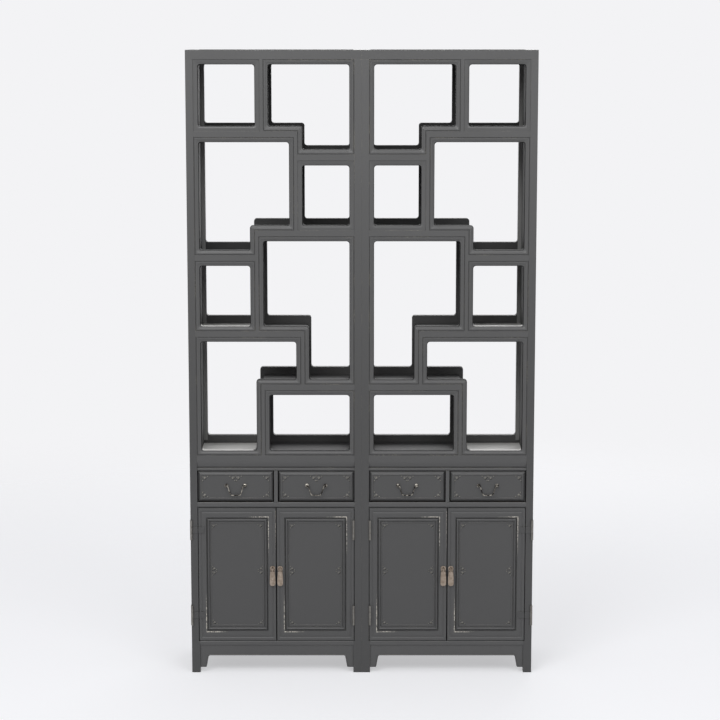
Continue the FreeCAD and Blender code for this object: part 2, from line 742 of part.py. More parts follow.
def drawer_front():
    """Drawer front with bevelled edges and a field sunk inside its border."""
    body = new_body("drawer_front_board")
    face = outline(body, "front_outline", "XZ_Plane", rectangle("0", "0", "drawer_width", "drawer_height"))
    stock = pad(body, "front_stock", face, "drawer_front_thickness", True)
    DOC.recompute()
    bevel = body.newObject("PartDesign::Chamfer", "front_bevel")
    near = number("overrun") / 2
    bevel.Base = (stock, edges_where(stock.Shape, lambda edge: abs(edge.BoundBox.YMax) < near))
    bevel.setExpression("Size", formula("drawer_edge"))
    field = rectangle("drawer_border", "drawer_border", "drawer_width - 2 * drawer_border",
                      "drawer_height - 2 * drawer_border")
    sunk = body.newObject("PartDesign::Pocket", "sunk_field")
    sunk.Profile = outline(body, "field_outline", "XZ_Plane", field)
    sunk.setExpression("Length", formula("drawer_field_depth"))
    sunk.Reversed = False
    return place(body, "drawer_left", "face", "drawer_foot")


def drawer_box():
    side = "drawer_side_thickness"
    length = "drawer_box_length"
    inner = "box_width - 2 * drawer_side_thickness"
    rise = "drawer_box_height - drawer_bottom_thickness"
    over_bottom = "box_foot + drawer_bottom_thickness"
    left = board("drawer_left_side", "box_left", "box_front", over_bottom, side, length, rise)
    right = board("drawer_right_side", "box_left + box_width - drawer_side_thickness", "box_front", over_bottom, side,
                  length, rise)
    back = board("drawer_back", "box_left + drawer_side_thickness", "box_front + drawer_box_length - " + side,
                 over_bottom, inner, side, rise)
    bottom = board("drawer_bottom", "box_left", "box_front", "box_foot", "box_width", length,
                   "drawer_bottom_thickness")
    return combine("Compound", "drawer_box_set", left, right, back, bottom)


ALONG_X = Rotation(Vector(0, 1, 0), 90)
ALONG_MINUS_Y = Rotation(Vector(1, 0, 0), 90)


def bail_post(name, side):
    """One post with its rosette, bored across for the end of the bail."""
    x = "drawer_middle %s bail_span / 2" % side
    start = "face + drawer_field_depth"
    post = turned(name + "_shank", x, start, "bail_axis", "bail_post_width",
                  "bail_post_length + drawer_field_depth", ALONG_MINUS_Y)
    rosette = turned(name + "_rosette", x, start, "bail_axis", "rosette_width", "rosette_thickness", ALONG_MINUS_Y)
    whole = combine("MultiFuse", name + "_whole", post, rosette)
    bore = faceted_bore(name + "_bore", x + " - bail_post_width", "face - bail_axis_reach", "bail_axis",
                        "bail_wire + 2 * bail_hole_gap", "2 * bail_post_width", ALONG_X)
    return combine("Cut", name, whole, bore)


def bail_posts():
    return combine("Compound", "bail_post_set", bail_post("left_bail_post", "-"), bail_post("right_bail_post", "+"))


def bail():
    """The drop handle: an eight-sided wire whose ends pass out through the posts."""
    half = number("bail_span / 2")
    drop = number("bail_drop")
    radius = number("bail_wire / 2")
    inside = number("bail_post_width / 2 + bail_wire / 2 + running_gap")
    outside = number("bail_post_width / 2 + bail_wire / 4")
    side = [Vector(half * across, 0, -drop * down) for across, down in BAIL_SHARES]
    side += [Vector(half - inside, 0, 0), Vector(half + outside, 0, 0)]
    path = [Vector(-point.x, 0, point.z) for point in reversed(side)] + side
    section = []
    for step in range(9):
        angle = math.radians(45 * step + 22.5)
        section.append(path[0] + Vector(0, math.cos(angle) * radius, math.sin(angle) * radius))
    shape = Part.Wire(Part.makePolygon(path)).makePipeShell([Part.makePolygon(section)], True, False, 1)
    feature = DOC.addObject("Part::Feature", "bail_wire_shape")
    feature.Shape = shape
    return place(feature, "drawer_middle", "face - bail_axis_reach", "bail_axis")


def door_member(name, length, width, other_width):
    """One moulded member along Z, its outer edge at X = 0, with both ends mitred."""
    moulding = new_body(name + "_moulding")
    points = [(share_of(across, width), share_of(back, "door_thickness")) for across, back in DOOR_SHARES]
    groove_back = "door_panel_drop + door_panel_thickness"
    points += [(width, "door_panel_drop"), (width + " - door_panel_tongue", "door_panel_drop"),
               (width + " - door_panel_tongue", groove_back), (width, groove_back), (width, "door_thickness"),
               ("0", "door_thickness")]
    pad(moulding, name + "_length", outline(moulding, name + "_section", "XY_Plane", points), length)
    blank = new_body(name + "_blank")
    corners = (("0", "0"), (width, other_width), (width, "%s - %s" % (length, other_width)), ("0", length))
    pad(blank, name + "_thickness", outline(blank, name + "_face", "XZ_Plane", corners), "door_thickness", True)
    return combine("Common", name, moulding, blank)


def door_frame():
    stile = door_member("stile", "door_height", "stile_width", "door_rail_width")
    place(stile, "door_left", "door_face", "door_foot")
    far_stile = mirrored("far_stile", stile, "door_left + door_width / 2")
    rail = door_member("door_rail", "door_width", "door_rail_width", "stile_width")
    place(rail, "door_left", "door_face", "door_foot + door_height", Rotation(Vector(0, 1, 0), 90))
    foot_rail = door_member("door_foot_rail", "door_width", "door_rail_width", "stile_width")
    place(foot_rail, "door_left + door_width", "door_face", "door_foot", Rotation(Vector(0, 1, 0), -90))
    return combine("Compound", "door_frame_set", stile, far_stile, rail, foot_rail)


def door_panel():
    """Flat panel with a tongue in the frame's groove."""
    body = new_body("door_panel_board")
    edge = "stile_width - door_panel_tongue"
    rail_edge = "door_rail_width - door_panel_tongue"
    plan = rectangle(edge, rail_edge, "door_width - 2 * (%s)" % edge, "door_height - 2 * (%s)" % rail_edge)
    pad(body, "panel_stock", outline(body, "panel_outline", "XZ_Plane", plan), "door_panel_thickness", True)
    return place(body, "door_left", "door_face + door_panel_drop", "door_foot")


def symmetric(shares, half_width, length, top):
    """Both halves of an outline from shares that run along its + side."""
    side = [(share_of(across, half_width), "%s + %s" % (top, share_of(along, length))) for across, along in shares]
    other = [("0 - " + across, along) for across, along in reversed(side)]
    return side + other


def pull_plate():
    """Back plate with a slotted boss, and the pin across the slot that carries the drop."""
    plate = new_body("pull_back_plate")
    points = symmetric(PLATE_SHARES, "pull_width / 2", "pull_plate_height", "0 - pull_plate_height")
    pad(plate, "plate_thickness", outline(plate, "plate_outline", "XZ_Plane", points), "pull_plate_thickness")
    place(plate, "pull_middle", "door_face", "pull_top")
    boss = turned("pull_boss_stock", "pull_middle", "door_face", "pull_axis", "pull_boss_width",
                  "pull_plate_thickness + pull_boss_reach", ALONG_MINUS_Y)
    fused = combine("MultiFuse", "pull_plate_whole", plate, boss)
    reach = "pull_boss_reach + overrun"
    slot = board("pull_slot", "pull_middle - pull_slot_width / 2", "door_face - pull_plate_thickness - (%s)" % reach,
                 "pull_axis - pull_boss_width", "pull_slot_width", reach, "2 * pull_boss_width")
    slotted = combine("Cut", "pull_plate_slotted", fused, slot)
    pin_length = "pull_slot_width + 2 * pull_pin_width"
    pin = turned("pull_pin", "pull_middle - (%s) / 2" % pin_length, "door_face - pull_axis_reach", "pull_axis",
                 "pull_pin_width", pin_length, ALONG_X)
    return combine("MultiFuse", "pull_plate_set", slotted, pin)


def pull_drop():
    """Tongue-shaped drop with a tang in the slot, bored for the pin."""
    length = "pull_axis - pull_shoulder_drop - (pull_top - pull_length)"
    drop = new_body("pull_tongue")
    points = symmetric(DROP_SHARES, "pull_width / 2", "0 - (%s)" % length, "0 - pull_shoulder_drop")
    pad(drop, "tongue_thickness", outline(drop, "tongue_outline", "XZ_Plane", points), "pull_drop_thickness")
    place(drop, "pull_middle", "door_face - pull_axis_reach + pull_drop_thickness / 2", "pull_axis")
    tang_width = "pull_slot_width - 2 * pull_tang_gap"
    tang = board("pull_tang", "pull_middle - (%s) / 2" % tang_width,
                 "door_face - pull_axis_reach - pull_drop_thickness / 2", "pull_axis - pull_shoulder_drop - overrun",
                 tang_width, "pull_drop_thickness", "pull_shoulder_drop + overrun + pull_drop_thickness / 2")
    whole = combine("MultiFuse", "pull_drop_whole", drop, tang)
    bore = faceted_bore("pull_drop_bore", "pull_middle - pull_slot_width / 2", "door_face - pull_axis_reach",
                        "pull_axis", "pull_pin_width + 2 * pull_pin_gap", "pull_slot_width", ALONG_X)
    return combine("Cut", "pull_drop_set", whole, bore)


HINGE_LEVELS = ("hinge_low", "hinge_high")


def fixed_hinges(name, x, leaf_x, leaf_thickness):
    """Post side of a door's two hinges: leaf, outer knuckles and the pin between them."""
    pieces = []
    for level in HINGE_LEVELS:
        tag = "%s_%s" % (name, level)
        foot = level + " - hinge_length / 2"
        top = level + " + hinge_length / 2 - knuckle_length"
        leaf = board(tag + "_leaf", leaf_x, "face", foot, leaf_thickness, "leaf_depth", "hinge_length")
        parts = [leaf, turned(tag + "_pin", x, "hinge_axis_y", foot, "hinge_pin_width", "hinge_length")]
        for spot, start in (("low", foot), ("top", top)):
            parts.append(turned(tag + "_" + spot, x, "hinge_axis_y", start, "knuckle_width", "knuckle_length"))
            parts.append(board("%s_%s_tab" % (tag, spot), leaf_x, "hinge_axis_y", start, leaf_thickness,
                               "face - (hinge_axis_y)", "knuckle_length"))
        pieces.append(combine("MultiFuse", tag, *parts))
    return pieces


def post_hinges():
    """Outer leaves on the side of the post, inner ones on its edge in the door's gap."""
    outer = fixed_hinges("outer_fixed", "outer_axis_x", "0 - half_pair - side_leaf_thickness",
                         "side_leaf_thickness")
    inner = fixed_hinges("inner_fixed", "inner_axis_x", "0 - post_width + rebate_width - leaf_thickness",
                         "leaf_thickness")
    return combine("Compound", "fixed_hinge_set", *(outer + inner))


def moving_hinges(name, x, leaf_x, leaf_y, leaf_width, leaf_depth):
    """Door side of a door's two hinges: the middle knuckle with its leaf."""
    pieces = []
    for level in HINGE_LEVELS:
        tag = "%s_%s" % (name, level)
        foot = level + " - knuckle_length / 2"
        leaf = board(tag + "_leaf", leaf_x, leaf_y, foot, leaf_width, leaf_depth, "knuckle_length")
        barrel = turned(tag + "_barrel", x, "hinge_axis_y", foot, "knuckle_width", "knuckle_length")
        whole = combine("MultiFuse", tag + "_whole", barrel, leaf)
        bore = round_bore(tag + "_bore", x, "hinge_axis_y", foot + " - overrun",
                          "hinge_pin_width + 2 * hinge_pin_gap", "knuckle_length + 2 * overrun")
        pieces.append(combine("Cut", tag, whole, bore))
    return combine("Compound", name, *pieces)


def outer_door_hinges():
    """Straps that cross the post's face from the barrels at its outer corner to the stile."""
    return moving_hinges("outer_strap_set", "outer_axis_x", "outer_axis_x + hinge_pin_width",
                         "door_face - strap_thickness",
                         "door_left + strap_reach - (outer_axis_x + hinge_pin_width)", "strap_thickness")


def inner_door_hinges():
    """Leaves on the hinged edge of the stile."""
    edge = "0 - post_width + rebate_width - door_gap"
    return moving_hinges("inner_leaf_set", "inner_axis_x", edge, "hinge_axis_y", "leaf_thickness",
                         "leaf_depth + face - hinge_axis_y")


def left_cabinet():
    """Every sub-part of the left cabinet, by the name it has without its side."""
    parts = {
        "posts": posts(),
        "top_frame": top_frame(),
        "front_lattice": front_lattice(),
        "back_lattice": back_lattice(),
        "shelf_boards": shelf_boards(),
        "partitions": partitions(),
        "side_panels": side_panels(),
        "front_rails": front_rails(),
        "apron": apron(),
        "back_panel": back_panel(),
        "cupboard_boards": cupboard_boards(),
        "post_hinges": post_hinges(),
        "outer_door_hinges": outer_door_hinges(),
        "inner_door_hinges": inner_door_hinges(),
    }
    halves = {
        "drawer_front": drawer_front(),
        "drawer_box": drawer_box(),
        "drawer_bail_posts": bail_posts(),
        "drawer_bail": bail(),
        "door_frame": door_frame(),
        "door_panel": door_panel(),
        "door_pull_plate": pull_plate(),
        "door_pull_drop": pull_drop(),
    }
    for name, outer in halves.items():
        parts["outer_" + name] = outer
        parts["inner_" + name] = mirrored("inner_" + name + "_copy", outer, "middle")
    return parts


def both_cabinets():
    for name, left in left_cabinet().items():
        keep(left, "left_" + name)
        keep(mirrored("right_" + name + "_copy", left), "right_" + name)
    DOC.recompute()


def check_document():
    for thing in DOC.Objects:
        if "Invalid" in thing.State or "Error" in thing.State:
            raise RuntimeError("%s failed: %s" % (thing.Name, thing.State))
    for node in NODES:
        if node.Shape.isNull() or not node.Shape.isValid() or not node.Shape.Solids:
            raise RuntimeError("%s has no valid shape" % node.Label)


def write_nodes():
    os.makedirs("parts", exist_ok=True)
    for node in NODES:
        node.Shape.exportStep("parts/%s.step" % node.Label)
        print(node.Label, len(node.Shape.Solids), "solids", round(node.Shape.Volume))


fill_sheet()
both_cabinets()
check_document()
write_nodes()
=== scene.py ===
# %% [markdown]
# # A pair of lacquered book cabinets
# The object is a pair of tall, narrow cabinets that stand side by side as mirror images. The upper part of
# each is a lattice of stepped shelves: no two openings are alike, and each is framed by a moulded edge. Below
# are two small drawers and two panelled doors per cabinet, with drop pulls of brass.
# The engineering model already holds every board at its true size, so this lesson loads it and adds what the
# eye wants: finer mouldings, turned and cast hardware, carved ornament and the finishes.

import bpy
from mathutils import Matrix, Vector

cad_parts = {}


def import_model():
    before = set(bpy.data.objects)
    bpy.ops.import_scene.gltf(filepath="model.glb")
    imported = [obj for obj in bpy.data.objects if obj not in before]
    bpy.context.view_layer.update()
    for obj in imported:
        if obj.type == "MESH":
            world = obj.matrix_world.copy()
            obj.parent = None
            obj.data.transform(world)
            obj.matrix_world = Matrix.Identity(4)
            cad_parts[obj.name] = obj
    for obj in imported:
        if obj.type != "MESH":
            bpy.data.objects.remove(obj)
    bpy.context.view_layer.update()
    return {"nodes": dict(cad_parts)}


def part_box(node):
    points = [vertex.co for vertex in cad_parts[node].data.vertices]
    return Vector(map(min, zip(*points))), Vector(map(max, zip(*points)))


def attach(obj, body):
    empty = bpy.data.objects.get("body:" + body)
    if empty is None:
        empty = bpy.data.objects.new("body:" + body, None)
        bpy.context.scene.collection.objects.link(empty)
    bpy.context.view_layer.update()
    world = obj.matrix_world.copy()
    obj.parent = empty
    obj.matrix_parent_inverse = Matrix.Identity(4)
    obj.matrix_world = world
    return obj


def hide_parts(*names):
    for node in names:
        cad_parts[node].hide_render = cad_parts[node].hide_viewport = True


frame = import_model()
nodes = frame["nodes"]

# %% Modules and units
import math

import bmesh
import bpy
from mathutils import Vector

MM = 0.001
SIDES = ("left", "right")
HALVES = ("outer", "inner")
SIGN = {"left": -1, "right": 1}
PREFIXES = tuple("%s_%s_" % (side, half) for side in SIDES for half in HALVES)

# %% [markdown]
# ## Seeing the object
# The picture was taken from just above the cabinets' top with a long lens, so upright edges lean in only a
# little towards the floor. Camera, floor and lamps come first: every later step is judged through them.

# %% Camera
CAMERA_HEIGHT = 2036 * MM
CAMERA_SIDE = -5.5 * MM
CAMERA_DISTANCE = 6687 * MM
CAMERA_DIP = math.radians(8.593)
CAMERA_LENS_MM = 106.5
CAMERA_SENSOR_MM = 36.0

scene = bpy.context.scene
front_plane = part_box("left_posts")[0].y
camera_data = bpy.data.cameras.new("camera")
camera_data.lens = CAMERA_LENS_MM
camera_data.sensor_width = CAMERA_SENSOR_MM
camera = bpy.data.objects.new("camera", camera_data)
camera.location = (CAMERA_SIDE, front_plane - CAMERA_DISTANCE, CAMERA_HEIGHT)
camera.rotation_euler = (math.radians(90) - CAMERA_DIP, 0, 0)
scene.collection.objects.link(camera)
scene.camera = camera
scene.view_settings.view_transform = "Standard"
print("camera at", [round(value, 3) for value in camera.location])

# %% [markdown]
# ## A helper for materials
# A material here is a small graph of nodes. One function adds a node, sets its properties and links its
# inputs, so that each recipe below reads as a list of steps. Colours are written as the hex values a
# painter's chart shows, and one function turns them into the linear light that the renderer counts in.

# %% Colour and node helpers
# The Mix node numbers its sockets for colours: two go in, and the mixed one comes out.
COLOUR_A, COLOUR_B, MIXED = 6, 7, 2


def linear(hex_colour):
    """The linear RGBA of an sRGB hex colour."""
    channels = [int(hex_colour[start:start + 2], 16) / 255 for start in (1, 3, 5)]
    return [c / 12.92 if c <= 0.04045 else ((c + 0.055) / 1.055) ** 2.4 for c in channels] + [1.0]


def add_node(tree, kind, inputs=None, **settings):
    """Add a node, set its properties, and give each input a value, a socket, or a node's first output."""
    node = tree.nodes.new("ShaderNode" + kind)
    for name, value in settings.items():
        setattr(node, name, value)
    for name, value in (inputs or {}).items():
        source = value.outputs[0] if isinstance(value, bpy.types.Node) else value
        if isinstance(source, bpy.types.NodeSocket):
            tree.links.new(source, node.inputs[name])
        else:
            node.inputs[name].default_value = source
    return node


def new_material(name):
    """An empty node material and its tree."""
    material = bpy.data.materials.new(name)
    material.use_nodes = True
    material.node_tree.nodes.clear()
    return material, material.node_tree


# %% [markdown]
# ## Floor, sky and lamps
# The setting is a white studio with no visible corner. A round floor catches the soft shadow and fades out
# towards its rim, where the white of the world takes over, so the setting looks the same from every side. The
# world shows its white only to the camera and to reflections; what lights the object is weaker, so that
# hollows stay dark.

# %% World
BACKDROP = "#F3F3F5"
AMBIENT = 0.36


def seen_directly(tree):
    """1 where the camera, a reflection or a clear thing shows a surface, 0 where it only gives light."""
    path = add_node(tree, "LightPath").outputs
    seen = add_node(tree, "Math", {0: path["Is Camera Ray"], 1: path["Is Glossy Ray"]}, operation="MAXIMUM")
    return add_node(tree, "Math", {0: seen, 1: path["Is Transmission Ray"]}, operation="MAXIMUM")


world = bpy.data.worlds.new("studio")
scene.world = world
world.use_nodes = True
tree = world.node_tree
tree.nodes.clear()
strength = add_node(tree, "MapRange", {"Value": seen_directly(tree), "To Min": AMBIENT})
sky = add_node(tree, "Background", {"Color": linear(BACKDROP), "Strength": strength})
add_node(tree, "OutputWorld", {"Surface": sky})
print("world:", world.name, "lit at", AMBIENT)

# %% [markdown]
# The floor is a matt paint. A part of its white is a glow that only the camera and reflections see. It keeps
# the floor near white without throwing more light on the cabinets, and the matt part takes their shadow.

# %% Floor
FLOOR_RADIUS = 5.0
FADE_FROM = 1.4
FADE_TO = 4.4
FLOOR_GLOW = 0.52

bpy.ops.object.select_all(action="DESELECT")
bpy.ops.mesh.primitive_circle_add(vertices=96, radius=FLOOR_RADIUS, fill_type="NGON")
floor = bpy.context.object
floor.name = "floor"
paint, tree = new_material("studio_floor_paint")
place = add_node(tree, "TexCoord").outputs["Object"]
reach = add_node(tree, "VectorMath", {0: place}, operation="LENGTH").outputs["Value"]
fade = add_node(tree, "MapRange", {"Value": reach, "From Min": FADE_FROM, "From Max": FADE_TO},
                interpolation_type="SMOOTHSTEP")
glow_strength = add_node(tree, "Math", {0: seen_directly(tree), 1: FLOOR_GLOW}, operation="MULTIPLY")
matt = add_node(tree, "BsdfDiffuse", {"Color": linear("#D4D5D8")})
glow = add_node(tree, "Emission", {"Color": linear(BACKDROP), "Strength": glow_strength})
lit = add_node(tree, "AddShader", {0: matt, 1: glow})
clear = add_node(tree, "BsdfTransparent")
mixed = add_node(tree, "MixShader", {0: fade, 1: lit, 2: clear})
add_node(tree, "OutputMaterial", {"Surface": mixed})
floor.data.materials.append(paint)
print("floor:", FLOOR_RADIUS, "m in radius")

# %% Lamps
# Name, width in metres, watts, place, and the point that the lamp is turned towards.
LAMPS = (
    ("key_lamp", 2.0, 56, (-1.3, -3.2, 3.6), (0, 0, 1.7)),
    ("fill_lamp", 2.2, 34, (1.6, -3.4, 3.3), (0, 0, 1.6)),
    ("top_lamp", 2.0, 10, (0, -0.6, 4.2), (0, 0, 1.0)),
    ("back_lamp", 3.0, 55, (0.8, 4.4, 2.6), (0, 0, 1.0)),
)

for name, width, power, location, aim in LAMPS:
    data = bpy.data.lights.new(name, "AREA")
    data.size = width
    data.energy = power
    lamp = bpy.data.objects.new(name, data)
    lamp.location = location
    lamp.rotation_euler = (Vector(aim) - Vector(location)).to_track_quat("-Z", "Y").to_euler()
    scene.collection.objects.link(lamp)
print("lamps:", len(LAMPS))

# %% [markdown]
# ## Grey lacquer
# Cabinets like these are brushed with many thin coats of lacquer and rubbed down to a satin sheen. Under the
# light the eye finds a few things at once: an even grey, a slow drift of tone where a coat went on thicker, a
# fine orange-peel ripple in the gloss, and edges that hands and dusters have worn to a pale beige. The ripple
# is a bump of about 3 mm; the worn edges come from comparing the surface with a rounded copy of itself, and a
# fine noise breaks them into specks. In narrow hollows the tone is darkened towards near black wherever
# little
# open air stands over the surface: this is a painted shade. A piece can carry a mark of its own as well, for
# the places where the lacquer has flaked off and where a painted highlight lies along an edge.

# %% Lacquer recipe
DRIFT_MM = 260.0
SPECK_MM = 4.0
PATCH_MM = 90.0
RIPPLE_MM = 3.0
RIPPLE_DEPTH = 0.04 * MM
HOLLOW_REACH = 9.0 * MM
# The near black of the painted shade in hollows.
HOLLOW_SHADE = "#161615"
WORN_AND_HIGHLIGHT_MARK = "worn"


def lacquer(name, deep, pale, worn, wear, gloss=(0.30, 0.40), edge_mm=1.3, hollow=0.5, sheen=0.5, fade=None):
    """A satin lacquer between two tones, rubbed at its edges, with a painted shade in its hollows."""
    material, tree = new_material(name)
    place = add_node(tree, "TexCoord").outputs["Object"]
    drift, speck, patch, ripple = (
        add_node(tree, "TexNoise", {"Vector": place, "Scale": 1 / (size * MM), "Detail": detail})
        for size, detail in ((DRIFT_MM, 3.0), (SPECK_MM, 2.0), (PATCH_MM, 1.0), (RIPPLE_MM, 1.0)))
    # The even tone, with a painted shade where the surface is shut in.
    blend = fade(tree, place) if fade else drift
    tone = add_node(tree, "Mix", {"Factor": blend, COLOUR_A: linear(deep), COLOUR_B: linear(pale)},
                    data_type="RGBA")
    open_air = add_node(tree, "AmbientOcclusion", {"Distance": HOLLOW_REACH}, samples=4).outputs["AO"]
    shut_in = add_node(tree, "MapRange", {"Value": open_air, "From Min": 0.9, "From Max": 0.3,
                                          "To Max": hollow})
    hollow_shaded = add_node(tree, "Mix", {"Factor": shut_in, COLOUR_A: tone.outputs[MIXED], COLOUR_B: linear(HOLLOW_SHADE)},
                    data_type="RGBA")
    # The rubbed edges, broken into specks and gathered in patches.
    soft = add_node(tree, "Bevel", {"Radius": edge_mm * MM}, samples=6)
    flat = add_node(tree, "NewGeometry").outputs["Normal"]
    same = add_node(tree, "VectorMath", {0: soft, 1: flat}, operation="DOT_PRODUCT").outputs["Value"]
    edge = add_node(tree, "MapRange", {"Value": same, "From Min": 0.98, "From Max": 0.86})
    broken = add_node(tree, "MapRange", {"Value": speck, "From Min": 0.44, "From Max": 0.60})
    rubbed = add_node(tree, "Math", {0: edge, 1: broken}, operation="MULTIPLY")
    handled = add_node(tree, "MapRange", {"Value": patch, "From Min": 0.50, "From Max": 0.62,
                                          "To Min": 0.08 * wear, "To Max": wear})
    amount = add_node(tree, "Math", {0: rubbed, 1: handled}, operation="MULTIPLY")
    # The places that the piece itself marks: flaked lacquer, with a painted highlight along those edges.
    marked = add_node(tree, "Attribute", attribute_name=WORN_AND_HIGHLIGHT_MARK, attribute_type="GEOMETRY").outputs["Fac"]
    bare = add_node(tree, "MapRange", {"Value": marked, "From Min": 0.66, "From Max": 0.84})
    flaked = add_node(tree, "MapRange", {"Value": speck, "From Min": 0.45, "From Max": 0.58, "To Min": 0.12})
    bare = add_node(tree, "Math", {0: bare, 1: flaked}, operation="MULTIPLY")
    amount = add_node(tree, "Math", {0: amount, 1: bare}, operation="MAXIMUM")
    colour = add_node(tree, "Mix", {"Factor": amount, COLOUR_A: hollow_shaded.outputs[MIXED], COLOUR_B: linear(worn)},
                      data_type="RGBA")
    polish = add_node(tree, "MapRange", {"Value": blend, "To Min": gloss[0], "To Max": gloss[1]})
    bump = add_node(tree, "Bump", {"Height": ripple, "Distance": RIPPLE_DEPTH, "Strength": 0.5,
                                   "Normal": soft})
    surface = add_node(tree, "BsdfPrincipled",
                       {"Base Color": colour.outputs[MIXED], "Roughness": polish, "Normal": bump, "IOR": 1.5,
                        "Specular IOR Level": sheen})
    add_node(tree, "OutputMaterial", {"Surface": surface})
    return material


# %% [markdown]
# The boards of one cabinet don't all look alike. The floors of the outer bays lie in the light and are
# painted pale, a painted light, while those of the inner bays keep their tone. The painted shade of the rear
# lattice is deepest high up, and the posts are painted darkest low down, a painted shade. Two small functions
# turn a place on the object into such a blend.

# %% Where painted light and painted shade are blended in
PALE_FROM_X = 0.343
PALE_TO_X = 0.349
PALE_BELOW_Z = 1.3
LATTICE_LOW_Z = 0.8
LATTICE_HIGH_Z = 1.7


def outer_bays(tree, place):
    """1 on the floors of the lower outer bays, 0 elsewhere."""
    axes = add_node(tree, "SeparateXYZ", {0: place}).outputs
    aside = add_node(tree, "Math", {0: axes["X"]}, operation="ABSOLUTE")
    outer = add_node(tree, "MapRange", {"Value": aside, "From Min": PALE_FROM_X, "From Max": PALE_TO_X})
    low = add_node(tree, "Math", {0: axes["Z"], 1: PALE_BELOW_Z}, operation="LESS_THAN")
    return add_node(tree, "Math", {0: outer, 1: low}, operation="MULTIPLY")


def height_up(tree, place):
    """0 at the foot of the lattice, 1 near its top."""
    height = add_node(tree, "SeparateXYZ", {0: place}).outputs["Z"]
    return add_node(tree, "MapRange",
                    {"Value": height, "From Min": LATTICE_LOW_Z, "From Max": LATTICE_HIGH_Z})


# %% The lacquers of this pair
# An even satin grey, with its edges worn here and there: the finish of the whole carcass.
GREY_LACQUER = lacquer("satin_grey_lacquer", "#575757", "#5E5E5E", "#B0AA9A", 0.9)
# The posts are painted darker towards the foot: a painted shade.
POST_LACQUER = lacquer("satin_grey_lacquer_of_posts", "#4F4F4F", "#5C5C5C", "#B0AA9A", 0.6, fade=height_up)
# The same coat on the door frames, handled more: it has flaked to pale specks where hands touch it, and the
# pale marks along some of its edges are partly a painted highlight.
DOOR_LACQUER = lacquer("handled_grey_lacquer", "#535353", "#5A5A5A", "#E2DCD0", 0.35, hollow=0.35)
# The panels and drawer fronts lie deeper and are painted darker: a painted shade.
PANEL_LACQUER = lacquer("deep_grey_lacquer", "#515151", "#555555", "#B4AE9F", 0.7, hollow=0.3)
# Carving is a little paler than its board, and rubbed through to a beige ground where it stands proudest.
CARVED_LACQUER = lacquer("rubbed_grey_lacquer_carving", "#666562", "#7A7874", "#B8B3A6", 1.0, edge_mm=0.8)
BEAD_LACQUER = lacquer("beige_ground_of_worn_lacquer", "#7C7972", "#C9C4B8", "#DDD9CE", 0.3, edge_mm=0.5,
                       hollow=0.2)
# The sides got one flat coat, without the shine of the front.
SIDE_LACQUER = lacquer("flat_grey_lacquer", "#575757", "#5E5E5E", "#A9A496", 0.6, gloss=(0.6, 0.68),
                       sheen=0.2)
# The shelf boards keep only a faint shine, and in the outer bays they are painted pale: a painted light.
SHELF_LACQUER = lacquer("bleached_grey_lacquer", "#5C5C5C", "#ECEBE8", "#8F8B80", 0.2, gloss=(0.55, 0.5),
                        hollow=0.05, sheen=0.14, fade=outer_bays)
# Partitions, and the walls inside the openings, are painted a flat black: a painted shade that hides them
# from the front.
PAINTED_SHADE_BLACK = lacquer("flat_black_lacquer", "#0D0D0D", "#131313", "#2C2B28", 0.3, gloss=(0.55, 0.65),
                        sheen=0.2)
# The rear lattice is painted black inside, a painted shade, darkest high up and lighter low down.
REAR_PAINTED_SHADE = lacquer("faded_black_lacquer", "#626262", "#3A3A3A", "#3A3936", 0.2, gloss=(0.5, 0.6),
                             hollow=0.2, sheen=0.3, fade=height_up)
# The outermost strip of the rear lattice is painted paler, a painted light, so that it still shows as grey in
# its own shade.
PAINTED_LIGHT_STRIP = lacquer("faded_grey_lacquer", "#A2A2A1", "#8E8E8D", "#A9A496", 0.2, gloss=(0.55, 0.65),
                             hollow=0.2, sheen=0.3)
print("materials:", [material.name for material in bpy.data.materials])

# %% [markdown]
# ## Metals and bare wood
# The pulls and hinges are cast or sheet brass that has gone brown in its hollows and is rubbed bright on its
# high places. The bails of the drawers are the same metal, darkened all over. Drawer boxes are never
# lacquered inside: they are a plain pale wood with its grain running from front to back.

# %% Metal recipe
PATINA_MM = 9.0
GRIT_MM = 1.6
GRIT_DEPTH = 0.1 * MM
METAL_HOLLOW = 1.6 * MM


def aged_metal(name, bright, brown, patina, spread=(0.35, 0.75)):
    """A cast metal, brown in patches and in its hollows, with a fine uneven surface."""
    material, tree = new_material(name)
    place = add_node(tree, "TexCoord").outputs["Object"]
    patch, grit = (
        add_node(tree, "TexNoise", {"Vector": place, "Scale": 1 / (size * MM), "Detail": detail})
        for size, detail in ((PATINA_MM, 4.0), (GRIT_MM, 2.0)))
    amount = add_node(tree, "MapRange", {"Value": patch, "From Min": spread[0], "From Max": spread[1],
                                         "To Max": patina})
    open_air = add_node(tree, "AmbientOcclusion", {"Distance": METAL_HOLLOW}, samples=6).outputs["AO"]
    hollow = add_node(tree, "MapRange", {"Value": open_air, "From Min": 0.85, "From Max": 0.45,
                                         "To Max": 0.8})
    brownest = add_node(tree, "Math", {0: amount, 1: hollow}, operation="MAXIMUM")
    colour = add_node(tree, "Mix", {"Factor": brownest, COLOUR_A: linear(bright), COLOUR_B: linear(brown)},
                      data_type="RGBA")
    gloss = add_node(tree, "MapRange", {"Value": patch, "To Min": 0.30, "To Max": 0.52})
    bump = add_node(tree, "Bump", {"Height": grit, "Distance": GRIT_DEPTH, "Strength": 0.4})
    surface = add_node(tree, "BsdfPrincipled", {"Base Color": colour.outputs[MIXED], "Roughness": gloss,
                                                "Metallic": 1.0, "Normal": bump})
    add_node(tree, "OutputMaterial", {"Surface": surface})
    return material


# Cast brass that hands keep bright on its high places, brown in its hollows.
AGED_BRASS = aged_metal("aged_cast_brass", "#A29588", "#4A3524", 0.5)
